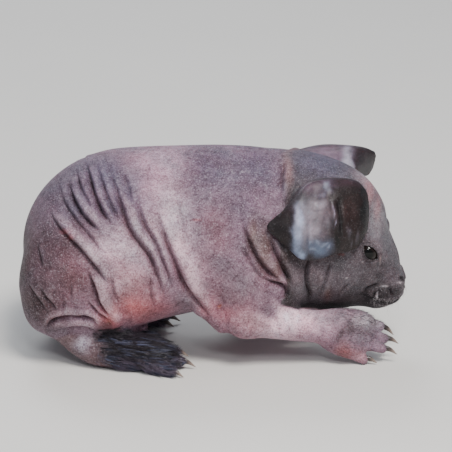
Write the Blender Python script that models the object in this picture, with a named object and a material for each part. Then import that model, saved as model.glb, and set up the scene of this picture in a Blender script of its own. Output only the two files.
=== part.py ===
"""A newborn hairless guinea pig, crouching with its right side to the viewer, as a life-size still model.

+X runs to the nose, +Y to the animal's left, +Z up, and the paws stand on Z = 0.
The flesh is a list of egg-shaped lumps and tapering limbs. Their rough union is remeshed, and its
points then settle on the smooth form that the same lumps and limbs blend into. Skin folds are raised
on that form, and thin cuts part the body into its named pieces.
"""

import math

import bmesh
import bpy
import numpy as np
from mathutils import Matrix, Vector

mm = 0.001

GAP = 0.3 * mm  # clear space between pieces that meet
SOLE = 0.25 * mm  # what hangs lower than this is pressed flat on the floor
VOXEL = 0.75 * mm  # grain of the remeshed body
BODY_SHARE = 0.062  # share of the remeshed faces that the body keeps
HEAD_TURN = dict(yaw=-9, roll=6)  # the head turns towards its right and leans to that side
HEAD_PIVOT = (20, 0, 36)
CENTRING = (0.45, 0.05, 0)


# Places on the head are given as if it faced straight ahead.
EYE = (43.2, -8.7, 32.7)
EYE_RADIUS = 3.0
EYE_ALONG = (0.58, 0.32, -0.75)  # from the rear corner of the eye to its front corner
EYE_OPENING = (2.4, 1.35)
NOSTRIL = (52.4, -2.5, 21.9)
MOUTH = [(41.6, -9, 20.2), (44.1, -7, 17.4), (47.3, -6, 16.3), (50.5, -3.8, 16.4), (51.8, 0, 17)]
EAR_THICKNESS = 0.9


def at(x, y, z):
    return np.array((x, y, z), float) * mm


def turned(pitch=0.0, roll=0.0, yaw=0.0):
    """Rotation of a piece: pitch drops its front end, roll lifts its left side, yaw swings it left."""
    turn = (
        Matrix.Rotation(math.radians(yaw), 3, "Z")
        @ Matrix.Rotation(math.radians(pitch), 3, "Y")
        @ Matrix.Rotation(math.radians(roll), 3, "X")
    )
    return np.array(turn)


class Lump:
    """An egg-shaped mass, given by its centre, its three half-sizes and how far it melts into the rest.

    Where it reaches less far down than up, under is its half-size below the centre.
    """

    def __init__(self, centre, half, melt, turn=None, under=None):
        self.centre, self.half, self.melt = at(*centre), at(*half), melt * mm
        self.under = self.half[2] if under is None else under * mm
        self.turn = np.eye(3) if turn is None else turn

    def distance(self, points):
        local = (points - self.centre) @ self.turn
        half = np.tile(self.half, (len(local), 1))
        half[local[:, 2] < 0, 2] = self.under
        inner = np.linalg.norm(local / half, axis=1)
        outer = np.linalg.norm(local / half**2, axis=1)
        return inner * (inner - 1) / np.maximum(outer, 1e-9)

    def add_to(self, mesh):
        place = Matrix.Translation(self.centre) @ Matrix(self.turn).to_4x4()
        shape = place @ Matrix.Diagonal((*self.half, 1))
        bmesh.ops.create_uvsphere(mesh, u_segments=32, v_segments=20, radius=1, matrix=shape)

    def mirrored(self):
        flip = np.array((1, -1, 1))
        twin = Lump((0, 0, 0), (1, 1, 1), self.melt / mm)
        twin.centre, twin.half, twin.under = self.centre * flip, self.half, self.under
        twin.turn = flip[:, None] * self.turn * flip
        return twin


class Limb:
    """A tapering limb between two round ends."""

    def __init__(self, start, end, start_radius, end_radius, melt):
        self.start, self.end = at(*start), at(*end)
        self.radii, self.melt = (start_radius * mm, end_radius * mm), melt * mm

    def distance(self, points):
        along = self.end - self.start
        share = np.clip((points - self.start) @ along / (along @ along), 0, 1)
        middle = self.start + share[:, None] * along
        radius = self.radii[0] + share * (self.radii[1] - self.radii[0])
        return np.linalg.norm(points - middle, axis=1) - radius

    def add_to(self, mesh):
        along = Vector(self.end - self.start)
        middle = Matrix.Translation((self.start + self.end) / 2)
        place = middle @ along.to_track_quat("Z", "Y").to_matrix().to_4x4()
        bmesh.ops.create_cone(
            mesh, cap_ends=True, segments=20, radius1=self.radii[0], radius2=self.radii[1],
            depth=along.length, matrix=place,
        )
        for point, radius in zip((self.start, self.end), self.radii):
            place = Matrix.Translation(point)
            bmesh.ops.create_uvsphere(mesh, u_segments=20, v_segments=12, radius=radius, matrix=place)

    def mirrored(self):
        flip = np.array((1, -1, 1))
        twin = Limb((0, 0, 0), (1, 0, 0), *(r / mm for r in self.radii), self.melt / mm)
        twin.start, twin.end = self.start * flip, self.end * flip
        return twin


def both(pieces):
    """The pieces of the right side and their mirror twins on the left."""
    return [twin for piece in pieces for twin in (piece, piece.mirrored())]


def trunk():
    return [
        Lump((-22, 0, 29.7), (30.2, 22.5, 27), 0, under=20.5),
        Lump((0, 0, 32), (31, 21, 25.5), 7, under=17.5),
        Lump((15, 0, 33.2), (20, 18.3, 21.6), 7),
        Lump((12, 0, 21), (13, 13, 12), 7),
        Lump((-42.5, 0, 18), (9, 8, 10.5), 5),
        *both([
            Lump((-30, -13.5, 27), (20, 10.5, 15.5), 8),
            Lump((-39, -9.6, 20.5), (13.4, 11, 11.6), 5),
            Lump((-44.6, -10.5, 14), (6.2, 8, 5.6), 4),
            Limb((-9.5, -20, 30), (-3.2, -17.4, 18), 3, 2.2, 3),
            Limb((-3.2, -17.4, 18), (2, -16.4, 11.6), 2.2, 1.5, 2),
            Lump((11, -13, 25), (12, 7.5, 14.5), 6),
        ]),
    ]


def head():
    skull = [
        Lump((24, 0, 37.5), (14, 15, 18.3), 6),
        Lump((31.5, 0, 39), (14.5, 13.2, 14.5), 5),
        Limb((35.5, 0, 33), (44.8, 0, 20.8), 12.2, 6.9, 5),
        Limb((33, 0, 20.6), (44.3, 0, 17.0), 5.8, 4.5, 4),
        Lump((27.5, 0, 18), (9.5, 7, 6.8), 4),
        Lump((43, 0, 26.5), (7.4, 6, 7.4), 3),
        *both([
            Lump((32, -5.5, 25.6), (11, 7.8, 9.4), 5),
            Lump((47.1, -2.4, 19.3), (4.8, 3.6, 4.4), 2.5),
            Lump((41, -5, 30), (6, 4.5, 5), 4),
            Lump(EYE, (4.0, 2.6, 3.6), 2),
        ]),
    ]
    return [with_head(piece) for piece in skull]


def with_head(piece):
    """The piece turned with the head about the nape."""
    pivot, swing = at(*HEAD_PIVOT), turned(**HEAD_TURN)
    if isinstance(piece, Lump):
        piece.centre = pivot + swing @ (piece.centre - pivot)
        piece.turn = swing @ piece.turn
    else:
        piece.start, piece.end = (pivot + swing @ (p - pivot) for p in (piece.start, piece.end))
    return piece


# Each toe runs from its root to its tip, and its claw on from there to the claw's tip.
RIGHT_FORE_TOES = [
    ((40, -7.8, 10.2), (45.4, -7.6, 8.7), (48.1, -7.6, 6.9)),
    ((41, -10, 7.8), (46.4, -10.1, 6.0), (49.2, -10.1, 5.0)),
    ((40.5, -12.2, 5.8), (45.8, -12.7, 4.1), (48.7, -13, 3.0)),
    ((37, -13.2, 3.4), (40.7, -14, 1.5), (43.2, -14.4, 0.9)),
]
LEFT_FORE_TOES = [
    ((28, 10.7, 2.9), (33.4, 9.8, 1.8), (36.3, 9.4, 1.0)),
    ((29, 12.9, 3.1), (35, 12.8, 1.8), (38, 12.7, 1.0)),
    ((28.5, 15.2, 2.9), (34.2, 16, 1.7), (37, 16.4, 0.9)),
    ((25.5, 17, 2.5), (29.5, 18.8, 1.5), (32, 19.8, 0.8)),
]
RIGHT_HIND_TOES = [
    ((-17, -13.8, 4), (-11.2, -12.6, 3.1), (-8.1, -12.2, 2.0)),
    ((-16.5, -17.4, 3.8), (-9.4, -17.8, 2.4), (-6.1, -18.0, 1.2)),
    ((-18, -20.6, 2.8), (-12.2, -23.2, 1.6), (-9.2, -24.4, 0.7)),
]
LEFT_HIND_TOES = [
    ((-21.5, 13.8, 3.8), (-15.6, 12.7, 2.8), (-12.5, 12.3, 1.7)),
    ((-21.2, 17.4, 3.6), (-14.1, 18, 2.2), (-10.8, 18.3, 1.1)),
    ((-22.9, 20.5, 2.7), (-17.3, 23.2, 1.6), (-14.5, 24.6, 0.7)),
]
FORE_TOE_RADII = (1.9, 1.35)
HIND_TOE_RADII = (2.1, 1.45)


def toes(places, radii, melt):
    return [Limb(root, tip, *radii, melt) for root, tip, _ in places]


def legs():
    """The four legs, each a list of its own, so that a foot melts into its own leg alone."""
    right_fore = [
        Limb((12, -14.5, 24), (8.5, -16.2, 13.8), 7, 4.6, 0),
        Limb((8.5, -16.2, 13.8), (31, -13, 10.2), 4.5, 4.4, 3),
        Lump((36.3, -10.6, 7.5), (7.8, 6.8, 4.4), 3, turned(roll=38)),
        *toes(RIGHT_FORE_TOES, FORE_TOE_RADII, 1.2),
    ]
    left_fore = [
        Limb((12, 14.5, 24), (7, 16.8, 11.4), 7, 4.4, 0),
        Limb((7, 16.8, 11.4), (19.5, 15, 6.4), 4.5, 3.7, 3),
        Lump((24.5, 14, 3.4), (7.2, 5.2, 3.6), 3, turned(roll=-8)),
        *toes(LEFT_FORE_TOES, FORE_TOE_RADII, 1.2),
    ]
    right_hind = [
        Limb((-41, -11.8, 11), (-32, -13.6, 6.4), 4.4, 4.6, 0),
        Limb((-30, -15, 18), (-38, -13, 11), 8, 5, 3),
        Lump((-24.6, -15.7, 5.0), (14.4, 5.5, 5.5), 4, turned(yaw=-10, pitch=3)),
        *toes(RIGHT_HIND_TOES, HIND_TOE_RADII, 1.4),
    ]
    left_hind = [
        Limb((-44, 12.6, 9.8), (-36.5, 14, 5.2), 4.4, 4.6, 0),
        Limb((-30, 15, 18), (-40.5, 13.4, 10), 8, 5, 3),
        Lump((-29.4, 15.7, 4.5), (14.2, 5.4, 5.3), 4, turned(yaw=10)),
        *toes(LEFT_HIND_TOES, HIND_TOE_RADII, 1.4),
    ]
    return [right_fore, left_fore, right_hind, left_hind]


LEG_MELT = 2.2 * mm


def melted(first, second, reach):
    """The union of two forms, rounded where they meet."""
    if reach <= 0:
        return np.minimum(first, second)
    near = np.maximum(reach - np.abs(first - second), 0) / reach
    return np.minimum(first, second) - near * near * reach / 4


def form_of(pieces, points):
    shape = pieces[0].distance(points)
    for piece in pieces[1:]:
        shape = melted(shape, piece.distance(points), piece.melt)
    return shape


def body_form(points):
    """Signed distance, in metres, from the smooth body without its folds."""
    torso = form_of(trunk(), points)
    shape = form_of(trunk() + head(), points)
    for leg in legs():
        shape = np.minimum(shape, melted(torso, form_of(leg, points), LEG_MELT))
    return shape


def object_from(name, mesh):
    made = bpy.data.objects.new(name, mesh)
    bpy.context.scene.collection.objects.link(made)
    return made


def applied(made):
    """The object's mesh with its modifiers applied, and the object left without them."""
    graph = bpy.context.evaluated_depsgraph_get()
    mesh = bpy.data.meshes.new_from_object(made.evaluated_get(graph), depsgraph=graph)
    made.modifiers.clear()
    old, made.data = made.data, mesh
    bpy.data.meshes.remove(old)
    return made


def points_of(mesh):
    points = np.empty(len(mesh.vertices) * 3)
    mesh.vertices.foreach_get("co", points)
    return points.reshape(-1, 3)


def normals_of(mesh):
    normals = np.empty(len(mesh.vertices) * 3)
    mesh.vertex_normals.foreach_get("vector", normals)
    return normals.reshape(-1, 3)


def set_points(mesh, points):
    mesh.vertices.foreach_set("co", points.astype(np.float32).ravel())
    mesh.update()


def fused(body):
    """One even closed skin over everything in the mesh."""
    remesh = body.modifiers.new("fuse", "REMESH")
    remesh.mode = "VOXEL"
    remesh.voxel_size = VOXEL
    return applied(body)


def rough_body():
    """Every lump and limb as a plain ball or cone, fused by a voxel remesh."""
    rough = bmesh.new()
    for piece in trunk() + head() + sum(legs(), []):
        piece.add_to(rough)
    mesh = bpy.data.meshes.new("body")
    rough.to_mesh(mesh)
    rough.free()
    return fused(object_from("body", mesh))


def neighbours_of(mesh):
    edges = np.empty(len(mesh.edges) * 2, np.int64)
    mesh.edges.foreach_get("vertices", edges)
    return edges.reshape(-1, 2)


def relaxed(points, edges, share):
    """Each point drawn towards the middle of its neighbours by this share."""
    total, count = np.zeros_like(points), np.zeros(len(points))
    for a, b in (edges.T, edges.T[::-1]):
        for axis in range(3):
            total[:, axis] += np.bincount(a, points[b, axis], len(points))
        count += np.bincount(a, minlength=len(points))
    return points + share * (total / count[:, None] - points)


def settle(body, level, rounds=5):
    """Moves the points along their normals until they lie on the smooth form."""
    edges = neighbours_of(body.data)
    for turn in range(rounds):
        points = points_of(body.data)
        if turn < rounds - 3:
            points = relaxed(points, edges, 0.5)
            set_points(body.data, points)
        miss = np.clip(body_form(points) - level, -VOXEL, VOXEL)
        set_points(body.data, points - miss[:, None] * normals_of(body.data))
    return body


def stand_on_floor(body):
    points = points_of(body.data)
    points[:, 2] = np.where(points[:, 2] < SOLE, 0, points[:, 2])
    set_points(body.data, points)


# Skin folds of the right side, from their upper ends down, with width and depth.
# The first number is the half-width, the second how deep the crease lies under the smooth skin.
FLANK_FOLDS = [
    (1.3, 0.6, [(-41, -15.7, 42.7), (-36.5, -21.2, 38.9), (-31.4, -24.4, 32.7), (-29.5, -25, 25)]),
    (1.1, 0.45, [(-39.8, -12.1, 46.3), (-34.7, -20.6, 40.9), (-29.8, -24.3, 34)]),
    (1.3, 0.6, [(-37, -7.1, 51.5), (-35.1, -15.3, 46.5), (-30.9, -20.2, 42.7), (-26.6, -22.6, 39)]),
    (1.2, 0.5, [(-32.5, -6, 54), (-30, -15.9, 47.8), (-26.1, -20.6, 42.9)]),
    (1.5, 0.9, [(-30.5, -7.6, 53.9), (-25.9, -19.3, 44.7), (-21.1, -21.6, 40.7), (-16.9, -23, 35.6),
                (-14.8, -23.5, 29.8)]),
    (1.4, 0.75, [(-26.9, -11.1, 52.7), (-24.4, -17.2, 47.3), (-16.9, -22.1, 38.3),
                 (-13.4, -23.2, 30.8), (-11.6, -22.6, 25.9)]),
    (1.3, 0.6, [(-20.6, -17.3, 47.1), (-17.4, -20.9, 41.3), (-13.4, -22.5, 35.1), (-10.5, -22.5, 27.2)]),
    (1.5, 0.7, [(-11.5, -20.3, 40), (-7, -21.4, 29), (-2, -19.5, 20.5), (3.6, -17.5, 14)]),
]
NECK_FOLDS = [
    (1.6, 0.9, [(7.6, -18.3, 44.6), (9.7, -21, 37.1), (12.6, -21.7, 31.5), (18.5, -20.2, 24.2)]),
    (1.5, 0.8, [(15, -18.9, 41.5), (16.9, -20.4, 35), (20.2, -19.4, 23.9)]),
    (1.3, 0.8, [(24.1, -18.1, 31.9), (24.8, -17.1, 26.8), (24.6, -15.5, 20)]),
    (1.2, 0.6, [(31, -15.7, 29.1), (30.8, -14.8, 24.6), (30.1, -13.1, 19)]),
    (1.8, 1.0, [(22.3, -8.2, 54.6), (19.3, -12.5, 51.5), (18.2, -15.7, 47.4), (18.5, -17.4, 43)]),
]
HAUNCH_FOLDS = [
    (1.4, 0.8, [(-46, -16, 11.5), (-39, -19, 12.8), (-34, -20, 13), (-27, -18, 11.5)]),
    (1.1, 0.5, [(-29.2, -24, 19.9), (-25.8, -23.2, 17.9), (-23.8, -21.5, 15)]),
]


def far_from(line, points):
    """Distance of each point from a line of joined segments."""
    nearest = np.full(len(points), np.inf)
    for start, end in zip(line, line[1:]):
        along = end - start
        share = np.clip((points - start) @ along / (along @ along), 0, 1)
        gap = np.linalg.norm(points - start - share[:, None] * along, axis=1)
        nearest = np.minimum(nearest, gap)
    return nearest


def fold_depth(points):
    """How far the creases sink under the smooth skin, less where the skin rolls up beside them."""
    depth = np.zeros(len(points))
    for side, strength in ((1, 1.0), (-1, 0.8)):
        for width, deep, line in FLANK_FOLDS + NECK_FOLDS + HAUNCH_FOLDS:
            line = [at(x, y * side, z) for x, y, z in line]
            gap = far_from(line, points) / (width * mm)
            crease = np.exp(-gap * gap) - 0.35 * np.exp(-((gap - 1.7) ** 2) / 0.6)
            depth += strength * deep * mm * crease
    return depth


def thinned(body, share):
    thin = body.modifiers.new("thin", "DECIMATE")
    thin.ratio = share
    return applied(body)


def unfolded(body, rounds=12, share=0.6):
    """Relaxes the points where the surface is folded back on itself."""
    for _ in range(rounds):
        mesh = bmesh.new()
        mesh.from_mesh(body.data)
        folded = [e for e in mesh.edges if e.link_faces[0].normal.dot(e.link_faces[1].normal) < -0.2]
        crumpled = {v for e in folded for f in e.link_faces for v in f.verts}
        moved = {}
        for vert in crumpled:
            around = [e.other_vert(vert).co for e in vert.link_edges]
            moved[vert] = vert.co.lerp(sum(around, Vector()) / len(around), share)
        for vert, place in moved.items():
            vert.co = place
        mesh.to_mesh(body.data)
        mesh.free()
        if not crumpled:
            break


def cutter_from(name, cutter):
    mesh = bpy.data.meshes.new(name)
    bmesh.ops.recalc_face_normals(cutter, faces=cutter.faces[:])
    cutter.to_mesh(mesh)
    cutter.free()
    made = object_from(name, mesh)
    made.hide_render = True
    made.display_type = "WIRE"
    return made


def cut(piece, cutter):
    """Takes the cutter's volume out of the piece and removes the cutter."""
    boolean = piece.modifiers.new("cut", "BOOLEAN")
    boolean.operation = "DIFFERENCE"
    boolean.solver = "MANIFOLD"  # the exact solver loses the body here
    boolean.object = cutter
    applied(piece)
    bpy.data.objects.remove(cutter)


def bodies_of(piece):
    """The closed surfaces of a piece, each as the set of its vertex numbers, the largest first."""
    links = [[] for _ in piece.data.vertices]
    for edge in piece.data.edges:
        a, b = edge.vertices
        links[a].append(b)
        links[b].append(a)
    seen, groups = set(), []
    for start in range(len(links)):
        if start in seen:
            continue
        group, queue = {start}, [start]
        while queue:
            for other in links[queue.pop()]:
                if other not in group:
                    group.add(other)
                    queue.append(other)
        seen |= group
        groups.append(group)
    return sorted(groups, key=len, reverse=True)


def kept_only(piece, group):
    mesh = bmesh.new()
    mesh.from_mesh(piece.data)
    mesh.verts.ensure_lookup_table()
    loose = [v for v in mesh.verts if v.index not in group]
    bmesh.ops.delete(mesh, geom=loose, context="VERTS")
    mesh.to_mesh(piece.data)
    mesh.free()


def cleaned(piece, grain=0.002 * mm):
    """Welds the short edges that the cuts leave and splits every face into triangles."""
    mesh = bmesh.new()
    mesh.from_mesh(piece.data)
    bmesh.ops.remove_doubles(mesh, verts=mesh.verts[:], dist=grain)
    bmesh.ops.dissolve_degenerate(mesh, edges=mesh.edges[:], dist=grain)
    bmesh.ops.triangulate(mesh, faces=mesh.faces[:])
    mesh.to_mesh(piece.data)
    mesh.free()


def parted(piece, cutter, name, spot):
    """Cuts the piece in two and names the body nearest to the spot; the piece keeps the larger rest."""
    cut(piece, cutter)
    groups = bodies_of(piece)
    points = points_of(piece.data)

    def miss(group):
        return np.linalg.norm(points[list(group)] - at(*spot), axis=1).min()

    chosen = min(groups[:6], key=miss)
    rest = next(g for g in groups if g is not chosen)
    other = object_from(name, piece.data.copy())
    kept_only(other, chosen)
    kept_only(piece, rest)
    return other


def facing(direction):
    return Vector(direction).to_track_quat("Z", "Y").to_matrix().to_4x4()


def slice_at(centre, direction, half_sizes):
    """A thin oval blade across a limb or the trunk."""
    blade = bmesh.new()
    size = Matrix.Diagonal((half_sizes[0] * mm, half_sizes[1] * mm, 1, 1))
    place = Matrix.Translation(at(*centre)) @ facing(direction) @ size
    bmesh.ops.create_cone(blade, cap_ends=True, segments=28, radius1=1, radius2=1, depth=GAP, matrix=place)
    return cutter_from("slice", blade)


def hollow(name, shape):
    """The closed or open shape as a wall as thick as the gap."""
    made = cutter_from(name, shape)
    wall = made.modifiers.new("wall", "SOLIDIFY")
    wall.thickness = GAP
    wall.offset = 0
    return applied(made)


def sleeve(start, end, radii):
    """A thin round sleeve with a closed near end, which slips over a limb from its free end."""
    start, end = at(*start), at(*end)
    along = Vector(end - start)
    shape = bmesh.new()
    place = Matrix.Translation((start + end) / 2) @ facing(along)
    bmesh.ops.create_cone(
        shape, cap_ends=True, cap_tris=True, segments=18, radius1=radii[0] * mm, radius2=radii[1] * mm,
        depth=along.length, matrix=place,
    )
    lid = [f for f in shape.faces if f.normal.dot(along.normalized()) > 0.9]
    bmesh.ops.delete(shape, geom=lid, context="FACES")
    return hollow("sleeve", shape)


def ball_wall(centre, half):
    shape = bmesh.new()
    place = Matrix.Translation(at(*centre)) @ Matrix.Diagonal((*(h * mm for h in half), 1))
    bmesh.ops.create_uvsphere(shape, u_segments=20, v_segments=12, radius=1, matrix=place)
    return hollow("ball", shape)


def outward(points):
    """The direction straight out of the smooth body at each point."""
    step = 0.05 * mm
    slope = np.stack([
        body_form(points + step * axis) - body_form(points - step * axis) for axis in np.eye(3)
    ], axis=1)
    return slope / np.linalg.norm(slope, axis=1)[:, None]


def clear_of_body(points, space):
    """Moves the points that lie nearer to the body than this space out to it."""
    for _ in range(3):
        short = np.maximum(space - body_form(points), 0)
        points = points + short[:, None] * outward(points)
    return points


def head_place(place):
    """A place on the head, in metres, after the head has turned."""
    pivot = at(*HEAD_PIVOT)
    return pivot + turned(**HEAD_TURN) @ (at(*place) - pivot)


def eye_frame(side):
    """Centre of the eyeball and its axes: along the opening, across it, and outward."""
    flip = np.array((1, side, 1))
    swing = turned(**HEAD_TURN)
    skin = head_place(np.array(EYE) * flip)
    for _ in range(4):
        skin = skin - body_form(skin[None])[0] * outward(skin[None])[0]
    out = outward(skin[None])[0]
    along = swing @ (np.array(EYE_ALONG) * flip)
    along = along - (along @ out) * out
    along /= np.linalg.norm(along)
    across = np.cross(out, along) * side
    return skin - (EYE_RADIUS * mm - 0.15 * mm) * out, along, across, out


def eyeball(side):
    centre, along, across, out = eye_frame(side)
    ball = bmesh.new()
    turn = Matrix(np.stack((along, across, out), axis=1)).to_4x4()
    if turn.determinant() < 0:
        turn = Matrix(np.stack((along, -across, out), axis=1)).to_4x4()
    place = Matrix.Translation(centre) @ turn
    bmesh.ops.create_uvsphere(ball, u_segments=16, v_segments=10, radius=EYE_RADIUS * mm, matrix=place)
    mesh = bpy.data.meshes.new("eye")
    ball.to_mesh(mesh)
    ball.free()
    return mesh, place


def open_eye(head_piece, side):
    """Hollows the socket and opens an almond between the lids."""
    _, place = eyeball(side)
    socket = bmesh.new()
    radius = EYE_RADIUS * mm + GAP
    bmesh.ops.create_uvsphere(socket, u_segments=16, v_segments=10, radius=radius, matrix=place)
    cut(head_piece, cutter_from("socket", socket))
    almond = bmesh.new()
    ring, count = [], 16
    for turn in range(count):
        angle = math.tau * turn / count
        wide = EYE_OPENING[0] * mm * math.cos(angle)
        high = EYE_OPENING[1] * mm * math.sin(angle) * (1 - 0.35 * abs(math.cos(angle)) ** 3)
        ring.append((wide, high))
    for depth in (1.2 * mm, (EYE_RADIUS + 2) * mm):
        for wide, high in ring:
            almond.verts.new(place @ Vector((wide, high, depth)))
    almond.verts.ensure_lookup_table()
    for k in range(count):
        n = (k + 1) % count
        almond.faces.new([almond.verts[i] for i in (k, n, n + count, k + count)])
    almond.faces.new([almond.verts[k] for k in range(count)][::-1])
    almond.faces.new([almond.verts[k + count] for k in range(count)])
    cut(head_piece, cutter_from("almond", almond))


def mouth_blade():
    """A thin curved blade that follows the line of the mouth from corner to corner."""
    half = [np.array(p, float) for p in MOUTH]
    line = half + [p * (1, -1, 1) for p in half[-2::-1]]
    deep = np.array((36.0, 0, 19.5))
    blade = bmesh.new()
    rows = []
    for place in line:
        inward = deep - place
        inward /= np.linalg.norm(inward)
        rows.append([blade.verts.new(head_place(place + inward * reach)) for reach in (-3.0, 1.4)])
    for first, second in zip(rows, rows[1:]):
        blade.faces.new((first[0], second[0], second[1], first[1]))
    made = cutter_from("mouth", blade)
    wall = made.modifiers.new("wall", "SOLIDIFY")
    wall.thickness = 0.45 * mm
    wall.offset = 0
    return applied(made)


def nostril_cutter(side):
    pit = bmesh.new()
    centre = head_place(np.array(NOSTRIL) * (1, side, 1))
    turn = Matrix(turned(**HEAD_TURN)).to_4x4() @ Matrix.Rotation(side * math.radians(35), 4, "X")
    place = Matrix.Translation(centre) @ turn @ Matrix.Diagonal((2.2 * mm, 0.75 * mm, 1.15 * mm, 1))
    bmesh.ops.create_uvsphere(pit, u_segments=12, v_segments=8, radius=1, matrix=place)
    return cutter_from("nostril", pit)


# An onlooker on the right side looks a little down on the animal: along SIGHT, with RISE upwards.
LOOK_DOWN = math.radians(18)
SIGHT = np.array((0.0, math.cos(LOOK_DOWN), -math.sin(LOOK_DOWN)))
RISE = np.array((0.0, math.sin(LOOK_DOWN), math.cos(LOOK_DOWN)))

# The right ear hangs over the side of the head. Each rail runs from the root to the rim and gives
# the place along the head, the height as seen from the side and a little above, and the lift off the skin.
RIGHT_EAR_RAILS = [
    [(22.6, 42.6, 0), (20.9, 40.4, 1.2), (18.2, 37.0, 1.6),
     (14.2, 33.2, 1.6), (17.4, 29.7, 1.9), (21.6, 26.2, 2.2)],
    [(24.2, 44.4, 0), (23.9, 43.2, 1.6), (23.0, 39.6, 3.2),
     (22.4, 34.4, 4.3), (22.4, 29.4, 4.7), (23.6, 24.4, 4.0)],
    [(26.8, 45.8, 0), (26.8, 44.6, 1.6), (26.7, 40.2, 1.3),
     (26.6, 34.4, 1.2), (26.9, 29.4, 1.5), (27.3, 24.3, 2.2)],
    [(30.6, 46.4, 0), (30.8, 45.2, 1.8), (31.5, 40.6, 2.8),
     (32.3, 34.8, 3.2), (32.7, 30.0, 3.3), (32.6, 25.9, 2.8)],
    [(35.2, 46.3, 0), (35.4, 45.2, 1.6), (36.4, 41.0, 2.0),
     (37.0, 35.4, 2.1), (37.2, 31.0, 2.1), (37.0, 26.9, 1.8)],
    [(39.0, 45.6, 0), (39.4, 44.6, 1.3), (40.4, 41.0, 1.7),
     (41.0, 36.6, 1.7), (40.8, 32.2, 1.7), (39.9, 27.6, 1.4)],
    [(41.0, 43.6, 0), (41.8, 42.6, 0.9), (42.6, 40.8, 0.9),
     (42.8, 37.0, 0.8), (42.6, 32.8, 0.8), (41.6, 29.2, 0.8)],
]
# The left ear stands off sideways and its front hangs down: rails from the root to the rim.
LEFT_EAR_RAILS = [
    [(21.5, 9.5, 53), (20.6, 14.5, 51.5), (21.6, 19, 49), (24, 22.5, 45)],
    [(25.5, 9.5, 53.5), (26.6, 15, 52.6), (28.3, 20.5, 51.2), (30, 24.6, 47)],
    [(29.5, 9.5, 53.3), (32, 15, 52.8), (34.8, 20, 51.8), (37, 23.8, 48)],
    [(34, 8.4, 52), (38, 13, 52.4), (41.8, 17, 51.8), (44.2, 19.6, 50.2)],
    [(36.8, 8.4, 50), (40.4, 13, 49.4), (43.2, 17.2, 47.8), (44.2, 19.4, 46.6)],
    [(38, 9, 47.5), (40, 13, 45.6), (41.8, 16.4, 44.4), (42.8, 17.8, 44.2)],
]


def laid_on_head(x, height, lift):
    """The place seen at this spot from the side, lifted off the skin towards the onlooker."""
    spot = np.array((x, 0, 0)) * mm + RISE * height * mm - SIGHT * 60 * mm
    for _ in range(40):
        spot = spot + SIGHT * body_form(spot[None])[0] * 0.9
    return spot - SIGHT * lift * mm


def smooth_curve(knots, count):
    """Evenly shared points on the smooth curve through the knots."""
    knots = np.array(knots)
    ends = np.vstack([2 * knots[0] - knots[1], knots, 2 * knots[-1] - knots[-2]])
    places = []
    for share in np.linspace(0, len(knots) - 1, count):
        k = min(int(share), len(knots) - 2)
        t = share - k
        a, b, c, d = ends[k : k + 4]
        places.append(
            0.5 * (2 * b + (c - a) * t + (2 * a - 5 * b + 4 * c - d) * t**2 + (3 * b - a - 3 * c + d) * t**3)
        )
    return np.array(places)


def ear(name, rails, across, along):
    """A thin vane through the rails, thickened and cleared off the skin. Its root lies on the skin."""
    roots = np.array([rail[0] for rail in rails])
    for _ in range(4):
        roots = roots - body_form(roots)[:, None] * outward(roots)
    rails = [[root, *rail[1:]] for root, rail in zip(roots, rails)]
    rows = np.array([smooth_curve(rail, along) for rail in rails])
    grid = np.array([smooth_curve(rows[:, k], across) for k in range(along)])
    vane = bmesh.new()
    verts = [[vane.verts.new(p) for p in row] for row in grid]
    for upper, lower in zip(verts, verts[1:]):
        for k in range(across - 1):
            vane.faces.new((upper[k], lower[k], lower[k + 1]))
            vane.faces.new((upper[k], lower[k + 1], upper[k + 1]))
    mesh = bpy.data.meshes.new(name)
    vane.to_mesh(mesh)
    vane.free()
    made = object_from(name, mesh)
    thick = made.modifiers.new("thick", "SOLIDIFY")
    thick.thickness = EAR_THICKNESS * mm
    thick.offset = 0
    applied(made)
    set_points(made.data, clear_of_body(points_of(made.data), GAP))
    return made


def claw(name, toe):
    """A horn point on the end of a toe, standing just clear of its skin."""
    _, tip, point = (at(*place) for place in toe)
    along = point - tip
    length = np.linalg.norm(along)
    along = along / length
    side = np.cross(along, (0, 0, 1))
    side /= np.linalg.norm(side)
    up = np.cross(side, along)
    rings = []
    for share, radius, drop in ((0.0, 0.75, 0), (0.55, 0.52, -0.12), (1.05, 0.14, 0.1)):
        ring = []
        for k in range(8):
            angle = math.tau * k / 8
            spread = (math.cos(angle) * side * 0.8 + math.sin(angle) * up) * radius * mm
            middle = tip + along * (0.5 * mm + share * (length + 0.8 * mm)) + up * (0.3 - drop) * mm
            ring.append(middle + spread)
        rings.append(ring)
    base = np.array(rings[0])
    for _ in range(8):
        base = base + along * np.maximum(GAP - body_form(base), 0)[:, None]
    rings[0] = list(base)
    mesh = bmesh.new()
    verts = [[mesh.verts.new(p) for p in ring] for ring in rings]
    for first, second in zip(verts, verts[1:]):
        for k in range(8):
            mesh.faces.new((first[k], first[(k + 1) % 8], second[(k + 1) % 8], second[k]))
    mesh.faces.new(verts[0][::-1])
    mesh.faces.new(verts[-1])
    bmesh.ops.recalc_face_normals(mesh, faces=mesh.faces[:])
    made = bpy.data.meshes.new(name)
    mesh.to_mesh(made)
    mesh.free()
    return object_from(name, made)


def painted(piece, colour, roughness):
    """A material of the piece's own."""
    skin = bpy.data.materials.new(piece.name)
    skin.use_nodes = True
    shader = skin.node_tree.nodes["Principled BSDF"]
    shader.inputs["Base Color"].default_value = (*colour, 1)
    shader.inputs["Roughness"].default_value = roughness
    piece.data.materials.clear()
    piece.data.materials.append(skin)
    for face in piece.data.polygons:
        face.use_smooth = True


for old in list(bpy.data.objects):
    bpy.data.objects.remove(old)

body = settle(rough_body(), 0)
creased = points_of(body.data)
creased = creased - fold_depth(creased)[:, None] * normals_of(body.data)
set_points(body.data, creased)
fused(body)
stand_on_floor(body)
thinned(body, BODY_SHARE)
unfolded(body)

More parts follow.
